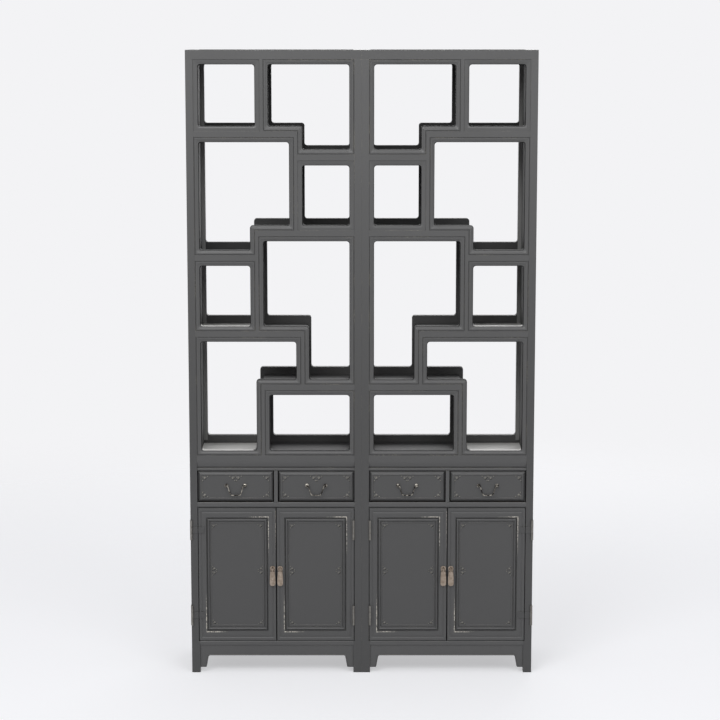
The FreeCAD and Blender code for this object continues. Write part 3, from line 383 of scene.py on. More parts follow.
# The bails, gone nearly black, with a small sharp glint along the wire.
DARK_BRASS = aged_metal("darkened_cast_brass", "#ABA69D", "#252220", 1.0, spread=(0.36, 0.56))
# Hinge barrels of sheet brass, dulled by the lacquer brushed over them.
DULL_BRASS = aged_metal("dulled_sheet_brass", "#83817D", "#5B5751", 0.6)
print("metals:", AGED_BRASS.name, DARK_BRASS.name, DULL_BRASS.name)

# %% Bare wood recipe
GRAIN_MM = 4.0
GRAIN_STRETCH = 0.06
GRAIN_DEPTH = 0.3 * MM


def bare_wood(name, pale, dark):
    """A plain sawn wood, its grain running from front to back."""
    material, tree = new_material(name)
    place = add_node(tree, "TexCoord").outputs["Object"]
    drawn = add_node(tree, "Mapping", {"Vector": place, "Scale": (1, GRAIN_STRETCH, 1)})
    grain = add_node(tree, "TexNoise", {"Vector": drawn, "Scale": 1 / (GRAIN_MM * MM), "Detail": 6.0,
                                        "Distortion": 0.4})
    colour = add_node(tree, "Mix", {"Factor": grain, COLOUR_A: linear(pale), COLOUR_B: linear(dark)},
                      data_type="RGBA")
    bump = add_node(tree, "Bump", {"Height": grain, "Distance": GRAIN_DEPTH, "Strength": 0.4})
    surface = add_node(tree, "BsdfPrincipled", {"Base Color": colour.outputs[MIXED], "Roughness": 0.62,
                                                "Normal": bump})
    add_node(tree, "OutputMaterial", {"Surface": surface})
    return material


# Pale boards with a darker straight grain, waxed by years of use and never coated.
CAMPHOR_WOOD = bare_wood("waxed_camphor_wood", "#C39A6B", "#8E6238")
print("wood:", CAMPHOR_WOOD.name)

# %% [markdown]
# ## Finish the boards that stay as they are
# Posts, frames, panels and shelves have the right shape already, so they only get their finish. The uprights
# between the openings are painted black, a painted shade, so that they disappear when the cabinet is seen
# from the front.

# %% Assign finishes to the carried-over nodes
# Partitions get the black of painted shade, and shelf boards the lacquer with painted light in the outer
# bays.
FINISHES = {
    "posts": POST_LACQUER, "top_frame": GREY_LACQUER, "front_lattice": GREY_LACQUER,
    "back_lattice": GREY_LACQUER, "shelf_boards": SHELF_LACQUER, "partitions": PAINTED_SHADE_BLACK,
    "side_panels": SIDE_LACQUER, "front_rails": GREY_LACQUER, "apron": GREY_LACQUER,
    "back_panel": GREY_LACQUER, "cupboard_boards": GREY_LACQUER, "post_hinges": DULL_BRASS,
    "door_hinges": DULL_BRASS, "drawer_front": PANEL_LACQUER, "drawer_box": CAMPHOR_WOOD,
    "drawer_bail_posts": DARK_BRASS, "drawer_bail": DARK_BRASS, "door_frame": DOOR_LACQUER,
    "door_panel": PANEL_LACQUER, "door_pull_plate": AGED_BRASS, "door_pull_drop": AGED_BRASS,
}

for name, node in nodes.items():
    kind = name.split("_", 1)[1].replace("outer_", "").replace("inner_", "")
    node.data.materials.clear()
    node.data.materials.append(FINISHES[kind])
print("kinds of node finished:", len(FINISHES))

# %% [markdown]
# ## Modelling helpers
# Each new piece starts as a simple primitive in edit mode. An operator acts on whatever is selected, so one
# helper clears the selection, one selects edges or faces by a test, and one finishes a piece: it applies the
# transforms, gives it a finish, and ties it to the body it moves with.

# %% Selection helpers


def only(piece):
    """Leave edit mode, and make a piece the only selected object and the active one."""
    if bpy.context.mode != "OBJECT":
        bpy.ops.object.mode_set(mode="OBJECT")
    bpy.ops.object.select_all(action="DESELECT")
    piece.select_set(True)
    bpy.context.view_layer.objects.active = piece


def edit(piece):
    """Enter edit mode on one piece alone."""
    only(piece)
    bpy.ops.object.mode_set(mode="EDIT")


def start_piece(name):
    """An empty mesh object in edit mode, alone and active."""
    piece = bpy.data.objects.new(name, bpy.data.meshes.new(name))
    scene.collection.objects.link(piece)
    edit(piece)
    return piece


def select_all():
    bpy.ops.mesh.select_all(action="SELECT")


def select_none():
    bpy.ops.mesh.select_all(action="DESELECT")


def pick(piece, kind, test):
    """In edit mode, select the visible verts, edges or faces that pass the test, and nothing else."""
    select_none()
    bpy.ops.mesh.select_mode(type={"verts": "VERT", "edges": "EDGE", "faces": "FACE"}[kind])
    work = bmesh.from_edit_mesh(piece.data)
    for element in getattr(work, kind):
        if not element.hide and test(element):
            element.select_set(True)
    work.select_flush_mode()
    bmesh.update_edit_mesh(piece.data)


# %% Shaping helpers
MERGE_REACH = 0.001 * MM


def turn_outwards(merge=False):
    """In edit mode, point all visible faces outwards, after merging doubled vertices where asked."""
    select_all()
    if merge:
        bpy.ops.mesh.remove_doubles(threshold=MERGE_REACH)
    bpy.ops.mesh.normals_make_consistent(inside=False)


def add_block(low, high):
    """In edit mode, add a cube that fills the space between two corners."""
    centre = (Vector(low) + Vector(high)) / 2
    select_none()
    bpy.ops.mesh.primitive_cube_add(size=1, location=centre)
    bpy.ops.transform.resize(value=Vector(high) - Vector(low), center_override=centre)


def apply_cut(piece, name, **settings):
    """Give a piece an exact boolean cut with the given settings, and apply it."""
    only(piece)
    cut = piece.modifiers.new(name, "BOOLEAN")
    cut.solver = "EXACT"
    for setting, value in settings.items():
        setattr(cut, setting, value)
    bpy.ops.object.modifier_apply(modifier=name)


# %% Finishing helpers
SMOOTH_ANGLE = math.radians(35)


def end_piece(piece, material, body, replaced=()):
    """Leave edit mode, smooth a piece, and give it its finish, if one is named, its body and its nodes."""
    only(piece)
    bpy.ops.object.transform_apply(location=True, rotation=True, scale=True)
    bpy.ops.object.shade_smooth_by_angle(angle=SMOOTH_ANGLE)
    if material:
        piece.data.materials.clear()
        piece.data.materials.append(material)
    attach(piece, body)
    if replaced:
        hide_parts(*replaced)


def copy_piece(piece, name, shift=(0, 0, 0), flip_x=False):
    """A copy with its own mesh, moved by the shift or turned over to the other side of X = 0."""
    copy = piece.copy()
    copy.data = piece.data.copy()
    copy.name = name
    scene.collection.objects.link(copy)
    only(copy)
    copy.location = shift
    if flip_x:
        copy.scale.x = -1
    bpy.ops.object.transform_apply(location=True, rotation=True, scale=True)
    if flip_x:
        edit(copy)
        select_all()
        bpy.ops.mesh.flip_normals()
        only(copy)
    return copy


def middle_of(node):
    low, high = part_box(node)
    return (low + high) / 2


def set_out(piece, kind, like, body, material, replace=True):
    """Put a piece modelled for the left outer door or drawer on all four, in place of the node it is like."""
    only(piece)
    first = middle_of("left_outer_" + like)
    for prefix in PREFIXES:
        own = copy_piece(piece, prefix + kind, middle_of(prefix + like) - first)
        end_piece(own, material, prefix + body, [prefix + like] if replace else ())
    bpy.data.objects.remove(piece)
    print(kind, "set out on four", body + "s")


# %% [markdown]
# ## The stepped lattice
# On the real cabinet each opening is edged by a lip and a rounded bead with eased corners, and by a narrow
# groove that meets in sharp mitres. A plate is cut by two solids per opening, and each cutter is a stack of
# outlines joined by bridges: the plane of the opening is cut to its L or oblong, its corners are rounded, and
# the next outline is a little larger. That keeps every moulding line parallel to the edge of its opening,
# which a bevel on the finished plate would not.

# %% Lines of the lattice, from the frame
STRIP = 16 * MM
HALF_RAIL = 25 * MM
HALF_BAR = 21 * MM
RAIL_PLACE_SHARES = {"one": 0.815, "two": 0.757, "three": 0.567, "four": 0.505, "five": 0.312, "six": 0.1755}
BAR_PLACE_SHARES = {"one": 0.429, "two": 0.6235, "three": 0.398, "four": 0.66}

plate_low, plate_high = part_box("left_front_lattice")
outer_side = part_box("left_posts")[0].x
plate_height = plate_high.z - plate_low.z
rails = {name: plate_low.z + share * plate_height for name, share in RAIL_PLACE_SHARES.items()}
bars = {name: outer_side * (1 - share) for name, share in BAR_PLACE_SHARES.items()}
edge_left, edge_right = plate_low.x + STRIP, plate_high.x - STRIP
edge_foot, edge_top = plate_low.z + STRIP, plate_high.z - STRIP


def over(name):
    return rails[name] + HALF_RAIL


def under(name):
    return rails[name] - HALF_RAIL


def after(name):
    return bars[name] + HALF_BAR


def before(name):
    return bars[name] - HALF_BAR


# Left, right, foot, top, and the step at a lower corner: (-1 left or 1 right, where it ends across, and up).
OPENINGS = (
    (edge_left, before("one"), over("one"), edge_top, None),
    (after("one"), edge_right, over("two"), edge_top, (-1, after("two"), over("one"))),
    (edge_left, before("two"), over("four"), under("one"), (1, before("three"), over("three"))),
    (after("two"), edge_right, over("three"), under("two"), None),
    (edge_left, before("three"), over("five"), under("four"), None),
    (after("three"), edge_right, over("six"), under("three"), (-1, after("four"), over("five"))),
    (edge_left, before("four"), edge_foot, under("five"), (1, before("one"), over("six"))),
    (after("one"), edge_right, edge_foot, under("six"), None),
)
print("rails", {name: round(height, 4) for name, height in rails.items()})

# %% One outline, eased or sharp
INNER_RADIUS = 9 * MM
STEP_RADIUS = 9 * MM
LEAST_RADIUS = 1 * MM
CORNER_SEGMENTS = 8
NEAR = 0.01 * MM


def round_corners(piece, places, radius):
    """Round the vertices at the given places across and up."""
    pick(piece, "verts", lambda vertex: any(abs(vertex.co.x - across) < NEAR and abs(vertex.co.z - up) < NEAR
                                            for across, up in places))
    bpy.ops.mesh.bevel(offset=radius, segments=CORNER_SEGMENTS, profile=0.5, affect="VERTICES")


def add_outline(piece, opening, grown, depth, ring, eased):
    """Add the wire outline of an opening, grown into the wood, and mark its vertices with their ring."""
    left, right, foot, top, step = opening
    left, right, foot, top = left - grown, right + grown, foot - grown, top + grown
    centre = ((left + right) / 2, depth, (foot + top) / 2)
    select_none()
    bpy.ops.mesh.primitive_plane_add(size=1, location=centre, rotation=(math.radians(90), 0, 0))
    bpy.ops.transform.resize(value=(right - left, 1, top - foot), center_override=centre)
    corners = [(left, foot), (right, foot), (right, top), (left, top)]
    if step:
        side, across, up = step
        across, up = across + side * grown, up - grown
        for where, way in (((across, 0, 0), (1, 0, 0)), ((0, 0, up), (0, 0, 1))):
            select_all()
            bpy.ops.mesh.bisect(plane_co=where, plane_no=way)
        pick(piece, "faces", lambda face: (face.calc_center_median().x - across) * side > 0
             and face.calc_center_median().z < up)
        bpy.ops.mesh.delete(type="FACE")
        select_all()
        bpy.ops.mesh.dissolve_limited(angle_limit=math.radians(1))
        if eased:
            round_corners(piece, [(across, up)], max(STEP_RADIUS - grown, LEAST_RADIUS))
        cut_corner = (left, foot) if side < 0 else (right, foot)
        corners.remove(cut_corner)
        corners += [(across, foot), (cut_corner[0], up)]
    if eased:
        round_corners(piece, corners, INNER_RADIUS)
    bpy.ops.mesh.select_mode(type="VERT")
    select_all()
    bpy.ops.mesh.delete(type="ONLY_FACE")
    work = bmesh.from_edit_mesh(piece.data)
    mark = work.verts.layers.int.get("ring") or work.verts.layers.int.new("ring")
    for vertex in work.verts:
        if not vertex.hide:
            vertex[mark] = ring
    bmesh.update_edit_mesh(piece.data)
    select_all()
    bpy.ops.mesh.hide(unselected=False)


# %% A cutter from a stack of outlines


def pick_rings(piece, *rings):
    """Select the loops of edges that belong to the given rings."""
    mark = bmesh.from_edit_mesh(piece.data).verts.layers.int["ring"]
    pick(piece, "edges", lambda edge: edge.verts[0][mark] == edge.verts[1][mark]
         and edge.verts[0][mark] in rings)


def opening_cutter(name, opening, profile, face_y, groove=False):
    """A solid of outlines along a profile of (growth, depth); a groove is a closed ring round the opening."""
    piece = start_piece(name)
    for ring, (grown, depth) in enumerate(profile, start=1):
        add_outline(piece, opening, grown * MM, face_y + depth * MM, ring, not groove)
    bpy.ops.mesh.reveal(select=False)
    count = len(profile)
    for ring in range(1, count + groove):
        pick_rings(piece, ring, ring % count + 1)
        bpy.ops.mesh.bridge_edge_loops()
    if not groove:
        for ring in (1, count):
            pick_rings(piece, ring)
            bpy.ops.mesh.edge_face_add()
    turn_outwards()
    return piece


# %% Cut a plate through all eight openings


def cut_plate(name, low, high, cutters):
    """A board between two corners, less every cutter."""
    piece = start_piece(name)
    add_block(low, high)
    group = bpy.data.collections.new(name + "_cutters")
    scene.collection.children.link(group)
    for cutter in cutters:
        group.objects.link(cutter)
    apply_cut(piece, "openings", operation="DIFFERENCE", operand_type="COLLECTION", collection=group)
    for cutter in cutters:
        bpy.data.objects.remove(cutter)
    bpy.data.collections.remove(group)
    return piece


# Millimetres into the wood from the edge of the opening, and back from the face.
LIP_PROFILE = ((9.8, -0.8), (8.8, 0.1), (7.8, 0.35), (6.8, 0.9), (5.9, 1.7), (5.0, 2.2), (1.6, 2.4),
               (0.5, 2.9), (0.0, 4.0), (0.0, 23.0))
GROOVE_PROFILE = ((15.9, -0.5), (15.5, 0.3), (14.8, 1.7), (13.9, 1.7), (12.9, 0.3), (12.3, -0.5))
BACK_PROFILE = ((0.0, -23.0), (0.0, -1.2), (0.9, -0.1), (2.2, 1.0))

back_low, back_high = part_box("left_back_lattice")
front_cutters = []
for index, opening in enumerate(OPENINGS):
    for kind, profile in (("lip", LIP_PROFILE), ("groove", GROOVE_PROFILE)):
        name = "%s_cutter_%d" % (kind, index)
        front_cutters.append(opening_cutter(name, opening, profile, plate_low.y, kind == "groove"))
front_plate = cut_plate("front_plate", plate_low, plate_high, front_cutters)
back_cutters = [opening_cutter("back_cutter_%d" % index, opening, BACK_PROFILE, back_high.y)
                for index, opening in enumerate(OPENINGS)]
back_plate = cut_plate("back_plate", back_low, back_high, back_cutters)
# A line of vertices down the inner edge of the outermost strip, where its finish changes.
edit(back_plate)
select_all()
bpy.ops.mesh.bisect(plane_co=(edge_left, 0, 0), plane_no=(1, 0, 0))
only(back_plate)
print("faces:", len(front_plate.data.polygons), len(back_plate.data.polygons))

# %% [markdown]
# The rear lattice is painted black where it looks into the cabinet, a painted shade, with a paler grey on its
# outermost strip, a painted light, and its outside is the grey of the carcass, so its faces are sorted by
# where they look and where they stand. The walls inside the front openings are painted black too, a painted
# shade, which keeps a bright line out of every edge that is seen nearly side on, but the sills were finished
# together with the shelf boards they continue.

# %% Set out the four lattices
WALL_DEPTH = 2.55 * MM


def is_wall(face):
    return face.center.y > plate_low.y + WALL_DEPTH and face.normal.z < 0.5


def is_sill(face):
    return plate_low.y + WALL_DEPTH < face.center.y < plate_high.y and face.normal.z > 0.5


def is_inside(face):
    return face.normal.y < 0.5 and abs(face.center.x) < abs(edge_left) + 0.1 * MM


def is_outer_strip(face):
    return face.center.y > plate_high.y and face.normal.y < 0.5 and not is_inside(face)


for plate, kind, name, black, is_black in (
        (front_plate, "front_lattice", "moulded_lattice", PAINTED_SHADE_BLACK, is_wall),
        (back_plate, "back_lattice", "rear_lattice", REAR_PAINTED_SHADE, is_inside)):
    for side in SIDES:
        own = copy_piece(plate, "%s_%s" % (side, name), flip_x=side == "right")
        end_piece(own, GREY_LACQUER, "cabinets", ["%s_%s" % (side, kind)])
        for finish in (black, SHELF_LACQUER, PAINTED_LIGHT_STRIP):
            own.data.materials.append(finish)
        tests = (is_black, is_sill, is_outer_strip)
        for face in own.data.polygons:
            face.material_index = next((index for index, test in enumerate(tests, start=1) if test(face)), 0)
        print(own.name, "faces:", len(own.data.polygons))
    bpy.data.objects.remove(plate)

# %% [markdown]
# ## Moulded door frames
# A door frame is four mitred members whose moulding runs round without a break: a flat outer band, a shallow
# groove, a broad inner band that sinks a little, and a bead that stands proud of it and falls to the panel.
# Light from above brightens the bead over the panel and leaves it dark below. On a slab the same line can be
# stepped in face by face: each inset is resized to its own width across and up, because the rails are wider
# than the stiles, and then pushed in or out.

# %% Step a face inwards along a profile


def step_in(piece, across, up, push):
    """Inset the selected face by its own width across and up, and push it along Y."""
    face = next(face for face in bmesh.from_edit_mesh(piece.data).faces if face.select)
    spots = [vertex.co.copy() for vertex in face.verts]
    wide = max(spot.x for spot in spots) - min(spot.x for spot in spots)
    tall = max(spot.z for spot in spots) - min(spot.z for spot in spots)
    centre = sum(spots, Vector()) / len(spots)
    rim = min(across, up) / 2
    bpy.ops.mesh.inset(thickness=rim, depth=0)
    resize = ((wide - 2 * across) / (wide - 2 * rim), 1, (tall - 2 * up) / (tall - 2 * rim))
    bpy.ops.transform.resize(value=resize, center_override=centre)
    bpy.ops.transform.translate(value=(0, push, 0))


def step_profile(piece, profile, up_factor=1.0):
    """Step the selected face through a profile of (inset, depth) in millimetres."""
    for (inset, depth), (next_inset, next_depth) in zip(profile, profile[1:]):
        width = (next_inset - inset) * MM
        step_in(piece, width, width * up_factor, (next_depth - depth) * MM)


# %% Door frame
STILE_WIDTH = 42.0
DOOR_RAIL_WIDTH = 52.0
DOOR_PROFILE = (
    (0.0, 1.2), (0.3, 0.4), (1.0, 0.0), (2.4, 0.0), (3.0, 0.0), (7.0, 0.0), (7.8, 0.6), (9.0, 1.6),
    (10.4, 1.7), (11.6, 1.0), (12.6, 0.2), (14.4, 0.0), (21.6, 1.0), (22.2, 1.1), (24.4, 1.5), (25.0, 1.9),
    (25.8, 5.4), (27.4, 6.0), (28.2, 4.4), (29.6, 1.6), (31.0, 0.4), (32.4, 0.2), (33.8, 1.2), (34.8, 3.4),
    (35.4, 5.6), (37.4, 5.8), (38.4, 4.4), (39.6, 4.2), (42.0, 5.6),
)
# A row of vertices this far below the upper edge, where the pale edge between two doors starts: partly wear,
# partly a painted highlight.
WORN_AND_HIGHLIGHT_START = 6 * MM

door_low, door_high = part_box("left_outer_door_frame")
door_frame = start_piece("door_frame_stock")
add_block(door_low + Vector((0, DOOR_PROFILE[0][1] * MM, 0)), door_high)
pick(door_frame, "faces", lambda face: face.normal.y > 0.9)
step_in(door_frame, STILE_WIDTH * MM, DOOR_RAIL_WIDTH * MM, 0)
bpy.ops.mesh.delete(type="FACE")
pick(door_frame, "faces", lambda face: face.normal.y < -0.9)
step_profile(door_frame, DOOR_PROFILE, DOOR_RAIL_WIDTH / STILE_WIDTH)
bpy.ops.mesh.delete(type="FACE")
pick(door_frame, "edges", lambda edge: edge.is_boundary)
bpy.ops.mesh.bridge_edge_loops()
turn_outwards()
bpy.ops.mesh.bisect(plane_co=(0, 0, door_high.z - WORN_AND_HIGHLIGHT_START), plane_no=(0, 0, 1))
set_out(door_frame, "moulded_door_frame", "door_frame", "door", DOOR_LACQUER)

# %% [markdown]
# The lacquer is pale in the same places on all four doors, partly flaked off and partly a painted highlight
# where light catches an edge: along the inner band at one upper corner and at the lower corner across from
# it, and down the edge where two doors meet, above the pulls. The vertices there are marked with 1 and all
# others with 0, and between two vertices the mark fades, so each pale line runs out before the middle of its
# stile or rail.

# %% Mark where the doors are worn and painted with a highlight
WORN_AND_HIGHLIGHT_BAND = (22.0 * MM, 24.6 * MM)
WORN_AND_HIGHLIGHT_EDGE = (0.2 * MM, 1.5 * MM)
MEETING_ON_THE_RIGHT = ("left_outer_", "right_inner_")


def in_span(inset, span):
    return span[0] < inset < span[1]


for prefix in PREFIXES:
    low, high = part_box(prefix + "door_frame")
    mesh = bpy.data.objects[prefix + "moulded_door_frame"].data
    mark = mesh.attributes.new(WORN_AND_HIGHLIGHT_MARK, "FLOAT", "POINT")
    for vertex, value in zip(mesh.vertices, mark.data):
        from_left, from_right = vertex.co.x - low.x, high.x - vertex.co.x
        upper = vertex.co.z > (low.z + high.z) / 2
        worn_and_highlit_corner = in_span(from_right if upper else from_left, WORN_AND_HIGHLIGHT_BAND)
        below_top = abs(high.z - WORN_AND_HIGHLIGHT_START - vertex.co.z) < 0.1 * MM
        meeting = prefix in MEETING_ON_THE_RIGHT and below_top and in_span(from_right, WORN_AND_HIGHLIGHT_EDGE)
        value.value = 1.0 if worn_and_highlit_corner or meeting else 0.0
    print(prefix, "marked vertices:", sum(value.value > 0.5 for value in mark.data))

# %% [markdown]
# ## Drawer fronts
# A drawer front is one board. Its edges fall away in a broad bevel to the gap round it, and a narrow fillet
# stands between the bevel and the sunk field. The same stepping makes it.

# %% Drawer front
DRAWER_PROFILE = ((0.0, 5.4), (0.6, 4.6), (7.6, 1.2), (8.4, 0.4), (9.4, 0.0), (10.9, 0.0), (11.6, 0.6),
                  (12.0, 2.0))

drawer_low, drawer_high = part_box("left_outer_drawer_front")
drawer_front = start_piece("drawer_front_stock")
add_block(drawer_low + Vector((0, DRAWER_PROFILE[0][1] * MM, 0)), drawer_high)
pick(drawer_front, "faces", lambda face: face.normal.y < -0.9)
step_profile(drawer_front, DRAWER_PROFILE)
set_out(drawer_front, "moulded_drawer_front", "drawer_front", "drawer", PANEL_LACQUER)

# %% [markdown]
# ## Turned and bent metal
# Posts, bosses and hinge barrels are turned, so each is a chain of edges spun about its axis. The bail is a
# wire bent by hand: a curve with a round bevel follows such a bend more evenly than extruded sections would,
# and it is turned into a mesh before it is placed.

# %% Spin a profile


def add_turning(piece, profile, start, along, steps=24):
    """In edit mode, spin a chain of (radius, distance in mm) about the line from start along an axis."""
    along = Vector(along)
    out = Vector((1, 0, 0)) if abs(along.x) < 0.5 else Vector((0, 0, 1))
    spots = [Vector(start) + (out * radius + along * distance) * MM for radius, distance in profile]
    bpy.ops.mesh.select_mode(type="VERT")
    select_all()
    bpy.ops.mesh.hide(unselected=False)
    bpy.ops.mesh.primitive_plane_add(size=1 * MM, location=spots[0])
    bpy.ops.mesh.merge(type="CENTER")
    for spot, next_spot in zip(spots, spots[1:]):
        bpy.ops.mesh.extrude_region_move(TRANSFORM_OT_translate={"value": next_spot - spot})
    select_all()
    bpy.ops.mesh.spin(steps=steps, angle=math.tau, center=start, axis=along)
    turn_outwards(merge=True)
    bpy.ops.mesh.reveal(select=False)


# %% Bend a wire


def bent_wire(name, spots, radius, resolution=3):
    """A closed round wire through the given places, as a mesh."""
    only(camera)
    bpy.ops.curve.primitive_nurbs_path_add()
    wire = bpy.context.object
    wire.name = name
    curve = wire.data
    curve.splines.clear()
    line = curve.splines.new("NURBS")
    line.points.add(len(spots) - 1)
    for point, spot in zip(line.points, spots):
        point.co = (*spot, 1.0)
    line.use_endpoint_u = True
    line.order_u = 3
    line.resolution_u = 5
    curve.bevel_depth = radius
    curve.bevel_resolution = resolution
    curve.use_fill_caps = True
    bpy.ops.object.convert(target="MESH")
    wire = bpy.context.object
    edit(wire)
    turn_outwards(merge=True)
    only(wire)
    return wire


# %% Bail posts with their rosettes
BAIL_HALF_SPAN = 29.5 * MM
POST_PROFILE = ((0.0, 0.0), (1.5, 0.25), (2.6, 1.1), (3.15, 2.4), (3.15, 3.9), (2.6, 5.2), (2.2, 5.9),
                (2.2, 8.4), (3.0, 9.2), (3.4, 10.0), (5.2, 10.6), (6.0, 11.2), (6.0, 13.0), (0.0, 13.0))

low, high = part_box("left_outer_drawer_bail_posts")
bail_axis_z = (low.z + high.z) / 2
bail_middle = (low.x + high.x) / 2
bail_posts = start_piece("bail_post_stock")
for sign in (-1, 1):
    start = (bail_middle + sign * BAIL_HALF_SPAN, low.y, bail_axis_z)
    add_turning(bail_posts, POST_PROFILE, start, (0, 1, 0))
set_out(bail_posts, "turned_bail_posts", "drawer_bail_posts", "drawer", DARK_BRASS)

# %% Bail
BAIL_DROP = 30 * MM
BAIL_REACH = 8.8 * MM
BAIL_RADIUS = 1.8 * MM
# Shares of the half span across and of the drop down, and then the ends in the posts, in millimetres.
BAIL_SHARES = ((0.0, 1.0), (0.3, 1.0), (0.46, 0.98), (0.56, 0.88), (0.64, 0.68), (0.71, 0.46), (0.77, 0.26),
               (0.8, 0.12))
BAIL_ENDS = (24.2, 26.2, 33.4)

side_spots = [Vector((share * BAIL_HALF_SPAN, 0, -drop * BAIL_DROP)) for share, drop in BAIL_SHARES]
side_spots += [Vector((across * MM, 0, 0)) for across in BAIL_ENDS]
spots = [Vector((-spot.x, 0, spot.z)) for spot in reversed(side_spots[1:])] + side_spots
centre = Vector((bail_middle, front_plane - BAIL_REACH, bail_axis_z))
bail = bent_wire("bail_stock", [spot + centre for spot in spots], BAIL_RADIUS)
set_out(bail, "bent_bail", "drawer_bail", "bail", DARK_BRASS)

# %% [markdown]
# ## Door pulls
# A pull is a small back plate with a slotted boss, and a tongue that hangs from a pin in the slot. Plate and
# tongue are cut from a blank: it is bisected at several heights, each level is drawn in to its own width, and
# the front edge is bevelled. Small bosses down the middle of the tongue catch the light.

# %% Shape a blank by the width at each level


def shape_blank(piece, low, high, widths, edge):
    """In edit mode, add a block, give each share of its height a share of its width, ease its front edge."""
    add_block(low, high)
    middle = (low.x + high.x) / 2
    tall = high.z - low.z
    for _, level in widths[1:-1]:
        select_all()
        bpy.ops.mesh.bisect(plane_co=(0, 0, low.z + level * tall), plane_no=(0, 0, 1))
    for width, level in widths:
        pick(piece, "verts", lambda vertex: abs(vertex.co.z - low.z - level * tall) < NEAR)
        bpy.ops.transform.resize(value=(width, 1, 1), center_override=(middle, 0, 0))
    pick(piece, "edges", lambda line: max(vertex.co.y for vertex in line.verts) < low.y + NEAR
         and any(abs(face.normal.y) < 0.5 for face in line.link_faces))
    bpy.ops.mesh.bevel(offset=edge, segments=3, profile=0.6, affect="EDGES")


# %% Pull plate
PLATE_WIDTHS = ((0.5, 0.0), (0.78, 0.12), (0.72, 0.4), (0.8, 0.5), (0.88, 0.62), (0.86, 0.74), (0.76, 0.86),
                (0.56, 0.95), (0.28, 1.0))
PLATE_THICKNESS = 2 * MM
PLATE_EDGE = 0.8 * MM

pull_low, pull_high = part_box("left_outer_door_pull_plate")
drop_low, drop_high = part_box("left_outer_door_pull_drop")
door_face = door_low.y
plate_face = door_face - PLATE_THICKNESS
near_corner = Vector((drop_low.x, plate_face, pull_low.z))
far_corner = Vector((drop_high.x, door_face, pull_high.z))
plate = start_piece("pull_plate_stock")
shape_blank(plate, near_corner, far_corner, PLATE_WIDTHS, PLATE_EDGE)
print("pull plate in mm:", [round(side / MM, 1) for side in far_corner - near_corner])

# %% Boss and pin
BOSS_PROFILE = ((0.0, 0.0), (3.2, 0.0), (4.4, 0.7), (5.0, 2.0), (5.0, 6.6), (5.6, 7.2), (6.3, 7.8),
                (6.3, 8.4), (5.6, 9.2), (5.0, 9.9), (0.0, 9.9))
PIN_PROFILE = ((0.0, 0.0), (1.1, 0.0), (1.1, 8.0), (0.0, 8.0))
PIN_HALF = 4 * MM
PIN_Y = -145.7 * MM
PIN_Z = 345.5 * MM
SLOT_HALF = 2.0 * MM
SLOT_HALF_HEIGHT = 12 * MM
SLOT_PROUD = 5 * MM

pull_middle = (drop_low.x + drop_high.x) / 2
boss = start_piece("boss_stock")
add_turning(boss, BOSS_PROFILE, (pull_middle, pull_low.y, PIN_Z), (0, 1, 0))
slot_tool = start_piece("slot_tool")
add_block((pull_middle - SLOT_HALF, pull_low.y - SLOT_PROUD, PIN_Z - SLOT_HALF_HEIGHT),
          (pull_middle + SLOT_HALF, plate_face, PIN_Z + SLOT_HALF_HEIGHT))
apply_cut(boss, "slot", object=slot_tool)
bpy.data.objects.remove(slot_tool)
edit(boss)
add_turning(boss, PIN_PROFILE, (pull_middle - PIN_HALF, PIN_Y, PIN_Z), (1, 0, 0), steps=12)
only(plate)
boss.select_set(True)
bpy.ops.object.join()
set_out(plate, "cast_pull_plate", "door_pull_plate", "door", AGED_BRASS)

# %% Pull drop
DROP_WIDTHS = ((0.3, 0.0), (0.66, 0.04), (0.88, 0.1), (0.96, 0.18), (0.95, 0.42), (0.9, 0.64), (0.82, 0.8),
               (0.8, 0.9), (0.74, 0.96), (0.5, 1.0))
DROP_EDGE = 1.1 * MM
SHOULDER = 7.5 * MM
TANG_HALF = 1.6 * MM
# The radius of each small boss in millimetres, and its share of the tongue's height.
BUMPS = ((1.7, 0.2), (2.2, 0.42), (1.7, 0.58), (2.0, 0.74))
BUMP_PROUD = 0.6

tongue_low = drop_low + Vector((0, BUMP_PROUD * MM, 0))
tongue_high = Vector((drop_high.x, drop_high.y, PIN_Z - SHOULDER))
drop = start_piece("pull_drop_stock")
shape_blank(drop, tongue_low, tongue_high, DROP_WIDTHS, DROP_EDGE)
for radius, level in BUMPS:
    height = tongue_low.z + level * (tongue_high.z - tongue_low.z)
    dome = ((0.0, -BUMP_PROUD), (radius * 0.5, -0.45), (radius * 0.85, 0.0), (radius, 0.8))
    add_turning(drop, dome, (pull_middle, tongue_low.y, height), (0, 1, 0), steps=12)
add_block((pull_middle - TANG_HALF, drop_low.y, tongue_high.z - 1 * MM),
          (pull_middle + TANG_HALF, drop_high.y, PIN_Z + 2 * MM))
set_out(drop, "cast_pull_drop", "door_pull_drop", "pull", AGED_BRASS)

# %% [markdown]
# ## Hinges
# The butt hinges show as thin brass barrels: two knuckles belong to the post and the middle one to the door.
# The strap of an outer door crosses the post, and it was brushed over with the lacquer, so only its barrel
# shines.

# %% Barrels
KNUCKLE_MM = 64.4 / 3
KNUCKLE_GAP_MM = 0.3
HINGE_MM = 65.0
KNUCKLE_PROFILE = ((0.0, 0.0), (2.9, 0.0), (3.35, 0.4), (3.35, KNUCKLE_MM - 0.4), (2.9, KNUCKLE_MM),
                   (0.0, KNUCKLE_MM))
KNUCKLE_STEPS = 16
HINGE_X = {"outer": 547 * MM, "inner": 27 * MM}
HINGE_Y = -142.8 * MM
LEAF_MM = {"outer": (551.4, 550.0), "inner": (23.8, 23.0)}
LEAF_REAR = front_plane + 18 * MM


def add_knuckle(piece, side, half, foot):
    axis = (SIGN[side] * HINGE_X[half], HINGE_Y, foot)
    add_turning(piece, KNUCKLE_PROFILE, axis, (0, 0, 1), KNUCKLE_STEPS)


